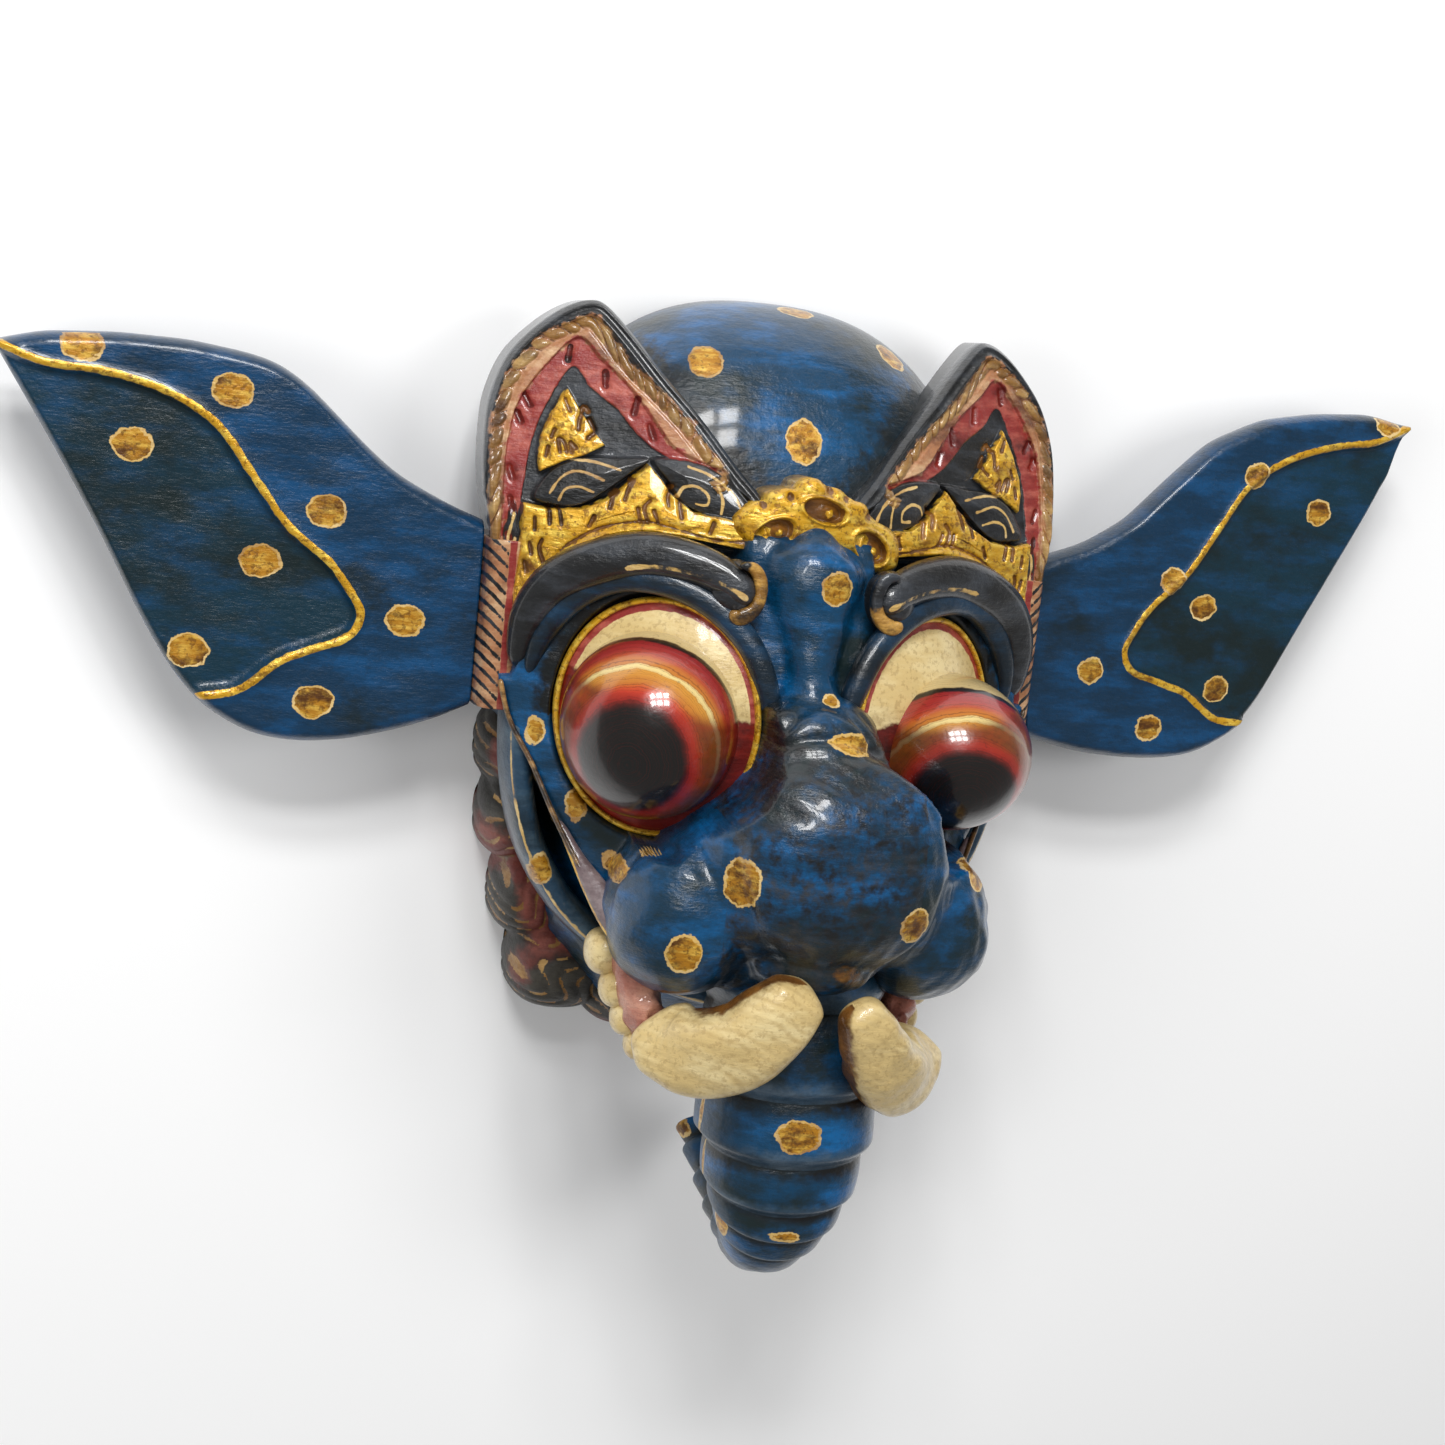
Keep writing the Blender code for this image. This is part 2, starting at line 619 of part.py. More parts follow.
def build_ear(name, side):
    """One ear with its sunk panel and tenon."""
    place, turn = ear_place(name, side)
    board = settle(ear_board(name), place @ turn)
    adds = [settle(tenon_box(name + "_tenon", 0.0, TENON_OVERLAP), place)]
    panel = [(92, -50), (88, -33), (76, -30), (64, -20), (53, -15), (42, -10), (39, -3), (42, 3),
             (50, 13), (64, 24), (76, 39), (89, 55), (106, 64), (125, 68), (142, 69), (162, 72),
             (180, 60), (120, -50)]
    outline = np.array(panel) * np.array([EAR_LENGTH / 157.0, 1.0])
    low = EAR_THICKNESS / 2 - EAR_PANEL_DEPTH
    cut = slab(name + "_panel", outline,
               lambda x, y: low + PANEL_CUT_THICKNESS
               - EAR_TIP_SWEEP * (x / EAR_LENGTH) ** 1.5, PANEL_CUT_THICKNESS)
    wide, thick = SHOULDER_HALF_WIDTH, SHOULDER_HALF_THICKNESS
    shoulder = loft(name + "_shoulder", [[(u, -wide, -thick), (u, wide, -thick), (u, wide, thick),
                                          (u, -wide, thick)] for u in (-SHOULDER_REACH, 0)])
    return board, adds, [settle(cut, place @ turn), settle(shoulder, place)]


def main():
    """Build the mask and both ears and stand the whole on the origin."""
    for old in list(bpy.data.objects):
        bpy.data.objects.remove(old)
    origin = bpy.data.objects.new("mask_origin", None)
    bpy.context.scene.collection.objects.link(origin)

    mask = dome("mask", 0.0, DOME_HEIGHT, DOME_FLOOR_Z, DOME_STEPS_AROUND, DOME_STEPS_UP)
    carving = new_collection("carving")
    cuts = new_collection("cuts")
    hidden(cheeks() + snout() + eyes() + brows() + crown() + temples() + jaw() + tusks()
           + trunk(), carving)
    hollow = dome("hollow", WALL, HOLLOW_DEPTH, HOLLOW_FLOOR_Z, HOLLOW_STEPS_AROUND,
                  HOLLOW_STEPS_UP)
    far = FLOOR_CUT_HALF
    floor = loft("floor", [[(-far, -far, z), (far, -far, z), (far, far, z), (-far, far, z)]
                           for z in (-FLOOR_CUT_DEPTH, 0)])
    hidden([hollow, floor] + panel_cuts(), cuts)

    nodes = [mask]
    for name, side in (("ear_left", -1), ("ear_right", 1)):
        board, adds, panel = build_ear(name, side)
        place, turn = ear_place(name, side)
        ear_adds = new_collection(name + "_adds")
        ear_cuts = new_collection(name + "_cuts")
        hidden(adds, ear_adds)
        hidden(panel, ear_cuts)
        boolean(board, "DIFFERENCE", ear_cuts)
        boolean(board, "UNION", ear_adds)
        hidden([settle(tenon_box(name + "_mortise", FIT_GAP, MORTISE_MOUTH), place)], cuts)
        nodes.append(board)
    boolean(mask, "UNION", carving)
    boolean(mask, "DIFFERENCE", cuts)

    for obj in nodes:
        bpy.context.scene.collection.objects.link(obj)
        obj.parent = origin
        obj.data.materials.append(finish(obj.name))
    for collection in (carving, cuts, *[c for c in bpy.data.collections if "ear" in c.name]):
        for form in collection.objects:
            form.parent = origin

    bpy.context.view_layer.update()
    solid_wood(mask)
    mask.data.materials.clear()
    mask.data.materials.append(finish("mask"))
    bpy.context.view_layer.update()
    shapes = bpy.context.evaluated_depsgraph_get()
    corners = np.array([obj.matrix_world @ Vector(corner) for obj in nodes
                        for corner in obj.evaluated_get(shapes).bound_box])
    low, high = corners.min(axis=0), corners.max(axis=0)
    origin.location = (-(low[0] + high[0]) / 2, -(low[1] + high[1]) / 2, -low[2])


main()
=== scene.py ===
"""The looks of a carved and painted elephant mask that lies on its hollowed back.

Every form is worked out in the carver's own frame, in millimetres: X = 0 is the face centre
line (+X to the viewer's right), Y = 0 lies between the eyes and Z = 0 is the back rim. One
shift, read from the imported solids, puts that frame into the world. Paint follows named fields:
a field is a distance in millimetres, positive inside its colour, stored on the vertices.
"""
import logging
import math
from dataclasses import dataclass, field
from enum import Enum
from typing import Dict, List, Optional, Sequence, Tuple, Union

import bmesh
import bpy
import numpy as np
from mathutils import Matrix, Vector


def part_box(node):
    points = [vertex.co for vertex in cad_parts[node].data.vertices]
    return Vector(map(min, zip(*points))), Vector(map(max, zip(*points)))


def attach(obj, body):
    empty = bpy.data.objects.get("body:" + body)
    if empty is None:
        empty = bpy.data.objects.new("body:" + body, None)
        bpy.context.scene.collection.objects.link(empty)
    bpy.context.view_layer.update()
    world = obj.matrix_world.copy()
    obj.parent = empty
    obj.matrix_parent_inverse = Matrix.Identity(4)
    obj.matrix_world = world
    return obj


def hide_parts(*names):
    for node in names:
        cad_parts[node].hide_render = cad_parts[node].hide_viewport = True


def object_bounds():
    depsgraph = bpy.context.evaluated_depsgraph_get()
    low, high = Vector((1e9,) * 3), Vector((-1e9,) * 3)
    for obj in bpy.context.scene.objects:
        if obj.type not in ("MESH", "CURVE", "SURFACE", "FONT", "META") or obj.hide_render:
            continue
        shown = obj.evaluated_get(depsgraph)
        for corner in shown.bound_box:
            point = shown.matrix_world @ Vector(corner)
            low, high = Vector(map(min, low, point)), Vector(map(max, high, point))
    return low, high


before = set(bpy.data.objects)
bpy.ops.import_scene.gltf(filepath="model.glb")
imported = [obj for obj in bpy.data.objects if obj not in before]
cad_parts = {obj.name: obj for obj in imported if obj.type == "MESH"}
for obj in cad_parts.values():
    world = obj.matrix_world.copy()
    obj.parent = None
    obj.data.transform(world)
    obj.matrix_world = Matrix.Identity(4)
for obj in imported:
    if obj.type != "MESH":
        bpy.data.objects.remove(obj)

Array = np.ndarray
Colour = Tuple[float, float, float]
Socket = bpy.types.NodeSocket
Feed = Union[Socket, float, Colour]
MM = 0.001
WELD = 0.002 * MM
NOWHERE = -9.0
LOG = logging.getLogger("mask")
CAD_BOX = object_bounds()


class Side(Enum):
    """The two halves of the face, as seen by the viewer."""

    LEFT = -1
    RIGHT = 1


def shift() -> Array:
    """Where the carver's origin lies in the world, in millimetres.

    Returns:
        The shift in millimetres.
    """
    crown_top = 124.0
    low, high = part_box("mask")
    return np.array([(low[0] + high[0]) / 2 / MM, high[1] / MM - crown_top, 0.0])


SHIFT = shift()


def paint_rgb(red: int, green: int, blue: int) -> Colour:
    """A screen colour, 0 to 255 in each part, as the linear values a shader takes.

    Args:
        red: Red, 0 to 255.
        green: Green, 0 to 255.
        blue: Blue, 0 to 255.

    Returns:
        Three linear values.
    """
    parts = np.array([red, green, blue]) / 255.0
    linear = np.where(parts <= 0.04045, parts / 12.92, ((parts + 0.055) / 1.055) ** 2.4)
    return tuple(float(v) for v in linear)


# Curves, distances and meshes


def curve(points: Sequence[Sequence[float]], count: int, closed: bool = False) -> Array:
    """A Catmull-Rom curve through the points, read at evenly spaced parameters.

    Args:
        points: The points that the curve passes through.
        count: How many places to read it at.
        closed: Whether it joins up with its start.

    Returns:
        An array of count points.
    """
    pts = np.asarray(points, dtype=float)
    n = len(pts)
    spans = n if closed else n - 1
    t = np.linspace(0, spans, count, endpoint=not closed)
    k = np.minimum(t.astype(int), spans - 1)
    f = (t - k)[:, None]
    if closed:
        a, b, c, d = (pts[(k + j) % n] for j in (-1, 0, 1, 2))
    else:
        a, b, c, d = (pts[np.clip(k + j, 0, n - 1)] for j in (-1, 0, 1, 2))
    return 0.5 * (2 * b + (c - a) * f + (2 * a - 5 * b + 4 * c - d) * f ** 2
                  + (3 * b - a - 3 * c + d) * f ** 3)


def along(values: Sequence[float], count: int) -> Array:
    """One row of values read along the same kind of curve."""
    return curve(np.stack([values, values], axis=1), count)[:, 0]


def mirrored(points: Sequence[Sequence[float]], side: Side) -> Array:
    """Points with their X turned to one side of the face.

    Args:
        points: Points of the right side.
        side: The side to turn them to.

    Returns:
        The turned points.
    """
    pts = np.array(points, dtype=float)
    pts[:, 0] *= side.value
    return pts


def smoothstep(value: Array, low: float, high: float) -> Array:
    """Rises from 0 at low to 1 at high along 3t^2 - 2t^3."""
    t = np.clip((value - low) / (high - low), 0.0, 1.0)
    return t * t * (3 - 2 * t)


def distance_to(points: Array, line: Array, closed: bool = False) -> Array:
    """Distance from each point to a polyline, in as many dimensions as both have.

    The foot of the perpendicular on each stretch is found at t = (p - a).(b - a) / |b - a|^2,
    held between 0 and 1, and the nearest stretch wins.

    Args:
        points: Points in two or three dimensions.
        line: The polyline.
        closed: Whether it joins up with its start.

    Returns:
        One distance for each point.
    """
    ends = np.roll(line, -1, axis=0) if closed else line[1:]
    starts = line if closed else line[:-1]
    best = np.full(len(points), 1e9)
    for a, b in zip(starts, ends):
        step = b - a
        t = np.clip((points - a) @ step / max(step @ step, 1e-9), 0, 1)
        gap = np.linalg.norm(points - a - t[:, None] * step, axis=1)
        best = np.minimum(best, gap)
    return best


def nearest(points: Array, lines: Sequence[Array], far: float = 9.0) -> Array:
    """Distance from each point to the nearest of several polylines, up to a far value."""
    return np.minimum.reduce([np.full(len(points), far)] + [distance_to(points, k) for k in lines])


def inside(points: Array, outline: Array) -> Array:
    """Whether each point lies inside a closed outline, by counting crossings to its right.

    Args:
        points: Points in plan.
        outline: The outline's corners.

    Returns:
        One truth value for each point.
    """
    odd = np.zeros(len(points), dtype=bool)
    for a, b in zip(outline, np.roll(outline, -1, axis=0)):
        spans = (a[1] > points[:, 1]) != (b[1] > points[:, 1])
        slope = (b[0] - a[0]) / (b[1] - a[1] if b[1] != a[1] else 1e-9)
        odd ^= spans & (points[:, 0] < a[0] + (points[:, 1] - a[1]) * slope)
    return odd


def signed(points: Array, outline: Array) -> Array:
    """Distance to a closed outline, positive inside it."""
    gap = distance_to(points, outline, closed=True)
    return np.where(inside(points, outline), gap, -gap)


def wobble(points: Array, size: float, seed: float = 0.0) -> Array:
    """A smooth uneven field between about -1 and 1 with bumps about size millimetres wide.

    It is a third of the sum of five sine waves whose directions turn by the golden angle.

    Args:
        points: Points in three dimensions.
        size: Width of the bumps.
        seed: Which of many such fields.

    Returns:
        One value for each point.
    """
    total = np.zeros(points.shape[:-1])
    for k in range(5):
        a = 2.399963 * k + seed
        way = np.array([math.cos(a), math.sin(a), math.cos(1.7 * a + 1.0)])
        total += np.sin(points @ way * (2 * math.pi / size) * (0.7 + 0.17 * k) + seed * (k + 1))
    return total / 3.0


def mesh_object(name: str, verts: Array, quads: Array,
                fields: Optional[Dict[str, Array]] = None) -> bpy.types.Object:
    """A smooth mesh from carving millimetres, welded at its seams and poles, faces out.

    Args:
        name: The piece's name.
        verts: Vertices in carving millimetres.
        quads: Four vertex numbers for each face.
        fields: Numbers to keep on the vertices.

    Returns:
        The new object.
    """
    mesh = bpy.data.meshes.new(name)
    mesh.vertices.add(len(verts))
    mesh.vertices.foreach_set("co", ((verts + SHIFT) * MM).astype(np.float32).ravel())
    mesh.loops.add(quads.size)
    mesh.loops.foreach_set("vertex_index", quads.astype(np.int32).ravel())
    mesh.polygons.add(len(quads))
    mesh.polygons.foreach_set("loop_start", np.arange(0, quads.size, 4, dtype=np.int32))
    mesh.update(calc_edges=True)
    store(mesh, fields or {})
    bm = bmesh.new()
    bm.from_mesh(mesh)
    bmesh.ops.remove_doubles(bm, verts=bm.verts[:], dist=WELD)
    bmesh.ops.dissolve_degenerate(bm, edges=bm.edges[:], dist=WELD / 2)
    bmesh.ops.recalc_face_normals(bm, faces=bm.faces[:])
    bm.to_mesh(mesh)
    bm.free()
    mesh.shade_smooth()
    obj = bpy.data.objects.new(name, mesh)
    bpy.context.scene.collection.objects.link(obj)
    return obj


def store(mesh: bpy.types.Mesh, fields: Dict[str, Array]) -> None:
    """Keep fields on a mesh as one number for each vertex.

    Args:
        mesh: The mesh.
        fields: The numbers by name.
    """
    for name, values in fields.items():
        layer = mesh.attributes.get(name) or mesh.attributes.new(name, "FLOAT", "POINT")
        layer.data.foreach_set("value", np.asarray(values, dtype=np.float32).ravel())


def carving_points(obj: bpy.types.Object) -> Array:
    """An object's vertices in carving millimetres.

    Args:
        obj: The object.

    Returns:
        Its points.
    """
    co = np.empty(len(obj.data.vertices) * 3, dtype=np.float32)
    obj.data.vertices.foreach_get("co", co)
    return co.reshape(-1, 3).astype(float) / MM - SHIFT


def move_points(obj: bpy.types.Object, points: Array) -> None:
    """Set an object's vertices from carving millimetres."""
    obj.data.vertices.foreach_set("co", ((points + SHIFT) * MM).astype(np.float32).ravel())
    obj.data.update()


def point_normals(obj: bpy.types.Object) -> Array:
    """The vertex normals of an object.

    Args:
        obj: The object.

    Returns:
        Unit vectors, one for each vertex.
    """
    out = np.empty(len(obj.data.vertices) * 3, dtype=np.float32)
    obj.data.vertex_normals.foreach_get("vector", out)
    return out.reshape(-1, 3).astype(float)


def surface(name: str, points: Array, wrap: Tuple[bool, bool] = (False, True),
            fields: Optional[Dict[str, Array]] = None) -> bpy.types.Object:
    """A grid of points (rows, columns, 3) as a mesh, wrapped where its edges meet.

    Args:
        name: The piece's name.
        points: The grid.
        wrap: Whether rows, and columns, meet end to start.
        fields: Numbers to keep on the vertices.

    Returns:
        The new object.
    """
    rows, columns = points.shape[:2]
    index = np.arange(rows * columns).reshape(rows, columns)
    if wrap[0]:
        index = np.concatenate([index, index[:1]])
    if wrap[1]:
        index = np.concatenate([index, index[:, :1]], axis=1)
    quads = np.stack([index[:-1, :-1], index[1:, :-1], index[1:, 1:], index[:-1, 1:]], axis=-1)
    return mesh_object(name, points.reshape(-1, 3), quads.reshape(-1, 4), fields)


def capped(grid: Array) -> Array:
    """Close both ends of a stack of rings at the middle of its first and last ring.

    Args:
        grid: Rings of points.

    Returns:
        The rings with one more at each end.
    """
    first = np.broadcast_to(grid[:1].mean(axis=1, keepdims=True), grid[:1].shape)
    last = np.broadcast_to(grid[-1:].mean(axis=1, keepdims=True), grid[:1].shape)
    return np.concatenate([first, grid, last])


def framed(rows: Array) -> Array:
    """Rows with the first and the last said twice, to go with a capped stack."""
    return np.concatenate([rows[:1], rows, rows[-1:]])


def ring_shape(count: int, power: float = 2.0) -> Tuple[Array, Array]:
    """Unit points around a superellipse: cos and sin raised to 2 / power.

    Args:
        count: Points around.
        power: 2 for an ellipse, more for a boxier one.

    Returns:
        The two coordinates.
    """
    t = np.arange(count) * 2 * math.pi / count
    c, s = np.cos(t), np.sin(t)
    return np.sign(c) * np.abs(c) ** (2 / power), np.sign(s) * np.abs(s) ** (2 / power)


def blob(centre: Sequence[float], radii: Sequence[float], around: int = 64, rows: int = 40,
         power: float = 2.0, tilt: float = 0.0) -> Array:
    """A rounded lump: rings of a superellipsoid from pole to pole, turned about Z.

    Args:
        centre: Its middle.
        radii: Its three half sizes.
        around: Points a ring.
        rows: Rings from pole to pole.
        power: 2 for an ellipsoid, more for a boxier one.
        tilt: Degrees that it is turned about Z.

    Returns:
        A grid of points.
    """
    c, s = ring_shape(around, power)
    a = np.linspace(-math.pi / 2, math.pi / 2, rows)
    e = 2 / power
    r = np.abs(np.cos(a)) ** e
    h = np.sign(np.sin(a)) * np.abs(np.sin(a)) ** e
    turn = math.radians(tilt)
    x = radii[0] * r[:, None] * c
    y = radii[1] * r[:, None] * s
    z = np.broadcast_to(radii[2] * h[:, None], x.shape)
    grid = np.stack([x * math.cos(turn) - y * math.sin(turn),
                     x * math.sin(turn) + y * math.cos(turn), z], axis=-1)
    return grid + np.asarray(centre, dtype=float)


def level_frame(tangent: Array) -> Tuple[Array, Array]:
    """Unit directions square to a path: u level, and w = u x tangent.

    Args:
        tangent: The path's direction at each point.

    Returns:
        The directions u and w.
    """
    tangent = tangent / np.linalg.norm(tangent, axis=1)[:, None]
    u = np.cross(tangent, (0.0, 0.0, 1.0))
    u /= np.linalg.norm(u, axis=1)[:, None]
    return u, np.cross(u, tangent)


def tube(path: Array, across: Array, height: Array, around: int = 48, power: float = 2.0,
         upright: bool = False, ends: float = 0.0) -> Array:
    """A profile carried along a path, with rounded ends.

    Each row is path + across * cos * u + height * sin * w, where u is level and square to the
    path and w = u x tangent. Within ends millimetres of a tip the profile shrinks along a
    quarter circle.

    Args:
        path: The path's points.
        across: Half width along u.
        height: Half height along w.
        around: Points a ring.
        power: 2 for an ellipse, more for a boxier one.
        upright: Whether u stays along X.
        ends: Length of each rounded end.

    Returns:
        A grid of points, closed at both tips.
    """
    tangent = np.gradient(path, axis=0)
    if upright:
        u = np.tile((1.0, 0.0, 0.0), (len(path), 1))
        w = np.cross(u, tangent / np.linalg.norm(tangent, axis=1)[:, None])
    else:
        u, w = level_frame(tangent)
    run = np.concatenate([[0.0], np.cumsum(np.linalg.norm(np.diff(path, axis=0), axis=1))])
    left = np.minimum(run, run[-1] - run)
    shrink = np.ones(len(path))
    if ends > 0:
        shrink = np.sqrt(np.clip(1 - (1 - np.clip(left / ends, 0, 1)) ** 2, 0, 1))
    c, s = ring_shape(around, power)
    across = np.broadcast_to(across, len(path)) * shrink
    height = np.broadcast_to(height, len(path)) * shrink
    grid = (path[:, None] + across[:, None, None] * c[None, :, None] * u[:, None]
            + height[:, None, None] * s[None, :, None] * w[:, None])
    first = np.broadcast_to(path[0], grid[:1].shape)
    last = np.broadcast_to(path[-1], grid[:1].shape)
    return np.concatenate([first, grid, last])


def fused(name: str, grids: Sequence[Array], voxel: float, smooth: int,
          wraps: Optional[Sequence[Tuple[bool, bool]]] = None) -> bpy.types.Object:
    """Several closed surfaces grown into one skin and eased where they meet.

    Args:
        name: The piece's name.
        grids: Closed surfaces as point grids.
        voxel: Size of the skin's cells in millimetres.
        smooth: How many rounds of easing.
        wraps: Which edges of each grid meet, or None when all wrap around.

    Returns:
        The object with its modifiers applied.
    """
    parts = [surface(name + "_form", grid, wrap)
             for grid, wrap in zip(grids, wraps or [(False, True)] * len(grids))]
    bm = bmesh.new()
    for part in parts:
        bm.from_mesh(part.data)
        mesh = part.data
        bpy.data.objects.remove(part)
        bpy.data.meshes.remove(mesh)
    mesh = bpy.data.meshes.new(name)
    bm.to_mesh(mesh)
    bm.free()
    obj = bpy.data.objects.new(name, mesh)
    bpy.context.scene.collection.objects.link(obj)
    skin = obj.modifiers.new("Skin", "REMESH")
    skin.mode = "VOXEL"
    skin.voxel_size = voxel * MM
    ease = obj.modifiers.new("Ease", "SMOOTH")
    ease.iterations = smooth
    ease.factor = 0.5
    bpy.context.view_layer.update()
    shapes = bpy.context.evaluated_depsgraph_get()
    baked = bpy.data.meshes.new_from_object(obj.evaluated_get(shapes))
    obj.modifiers.clear()
    obj.data = baked
    bpy.data.meshes.remove(mesh)
    baked.shade_smooth()
    return obj


# Paint


@dataclass(frozen=True)
class Paint:
    """One hand-brushed colour: its middle, light and antiqued tones and its gloss."""

    base: Colour
    light: Colour
    deep: Colour
    roughness: float = 0.34
    metallic: float = 0.0
    patchy: float = 0.45
    speckle: float = 0.2
    grain: float = 1.0


BLUE = Paint(paint_rgb(0, 56, 88), paint_rgb(0, 88, 144), paint_rgb(12, 30, 32), patchy=0.52)
EAR_BLUE = Paint(paint_rgb(0, 44, 72), paint_rgb(0, 66, 110), paint_rgb(8, 28, 36), patchy=0.44)
EAR_DEEP = Paint(paint_rgb(0, 42, 58), paint_rgb(0, 56, 90), paint_rgb(6, 26, 28), patchy=0.5)
BLACK = Paint(paint_rgb(20, 21, 22), paint_rgb(54, 58, 64), paint_rgb(8, 7, 6), patchy=0.42)
GOLD = Paint(paint_rgb(214, 160, 32), paint_rgb(244, 206, 84), paint_rgb(112, 66, 14),
             roughness=0.30, metallic=0.35, patchy=0.42, speckle=0.7, grain=3.4)
DOT_GOLD = Paint(paint_rgb(178, 122, 24), paint_rgb(222, 178, 74), paint_rgb(84, 48, 10),
                 roughness=0.36, metallic=0.2, patchy=0.5, speckle=0.6, grain=5.0)
RED = Paint(paint_rgb(138, 44, 40), paint_rgb(176, 90, 76), paint_rgb(78, 18, 16), patchy=0.44,
            grain=1.8)
TAN = Paint(paint_rgb(172, 118, 80), paint_rgb(206, 168, 128), paint_rgb(96, 54, 34), patchy=0.48,
            grain=1.8)
LEAF = Paint(paint_rgb(140, 100, 48), paint_rgb(190, 154, 96), paint_rgb(70, 42, 20), patchy=0.5)
CURL = Paint(paint_rgb(140, 98, 34), paint_rgb(196, 150, 72), paint_rgb(44, 28, 12), patchy=0.5,
             grain=3.0)
JAW = Paint(paint_rgb(38, 66, 88), paint_rgb(72, 96, 112), paint_rgb(14, 34, 46), patchy=0.45)
IVORY_DARK = Paint(paint_rgb(188, 162, 108), paint_rgb(208, 186, 134), paint_rgb(128, 98, 54))
CREAM = Paint(paint_rgb(206, 180, 122), paint_rgb(224, 204, 152), paint_rgb(140, 108, 60),
              patchy=0.36, speckle=0.35)
LINE_CREAM = Paint(paint_rgb(204, 168, 98), paint_rgb(226, 198, 140), paint_rgb(140, 96, 50))
PINK = Paint(paint_rgb(176, 112, 94), paint_rgb(204, 150, 128), paint_rgb(112, 56, 46), patchy=0.5)
MAUVE = Paint(paint_rgb(104, 88, 90), paint_rgb(140, 126, 126), paint_rgb(44, 34, 34))
BROWN = Paint(paint_rgb(96, 60, 22), paint_rgb(146, 96, 36), paint_rgb(36, 22, 12))
SEAM = Paint(paint_rgb(104, 74, 40), paint_rgb(184, 142, 84), paint_rgb(30, 26, 24), patchy=0.55,
             grain=2.6)
WOOD = Paint(paint_rgb(140, 104, 68), paint_rgb(168, 130, 90), paint_rgb(92, 64, 40),
             roughness=0.7, patchy=0.4, speckle=0.1)
# Dark paint laid on as painted shade in creases, folds and around the eyes.
SHADE = Paint(paint_rgb(14, 22, 24), paint_rgb(18, 42, 56), paint_rgb(8, 8, 8), patchy=0.5)
LID = Paint(paint_rgb(14, 28, 38), paint_rgb(18, 52, 78), paint_rgb(8, 10, 12))
# Painted highlight for the lips of the trunk's rings.
LIP_HIGHLIGHT = Paint(paint_rgb(52, 76, 96), paint_rgb(92, 108, 122), paint_rgb(22, 36, 46))
DARK_RED = Paint(paint_rgb(92, 16, 10), paint_rgb(138, 32, 18), paint_rgb(28, 6, 4))
BEARD = Paint(paint_rgb(40, 38, 34), paint_rgb(66, 62, 54), paint_rgb(16, 13, 11), roughness=0.5,
              patchy=0.4)
BEARD_RED = Paint(paint_rgb(108, 48, 40), paint_rgb(138, 76, 64), paint_rgb(54, 20, 16),
                  roughness=0.5)


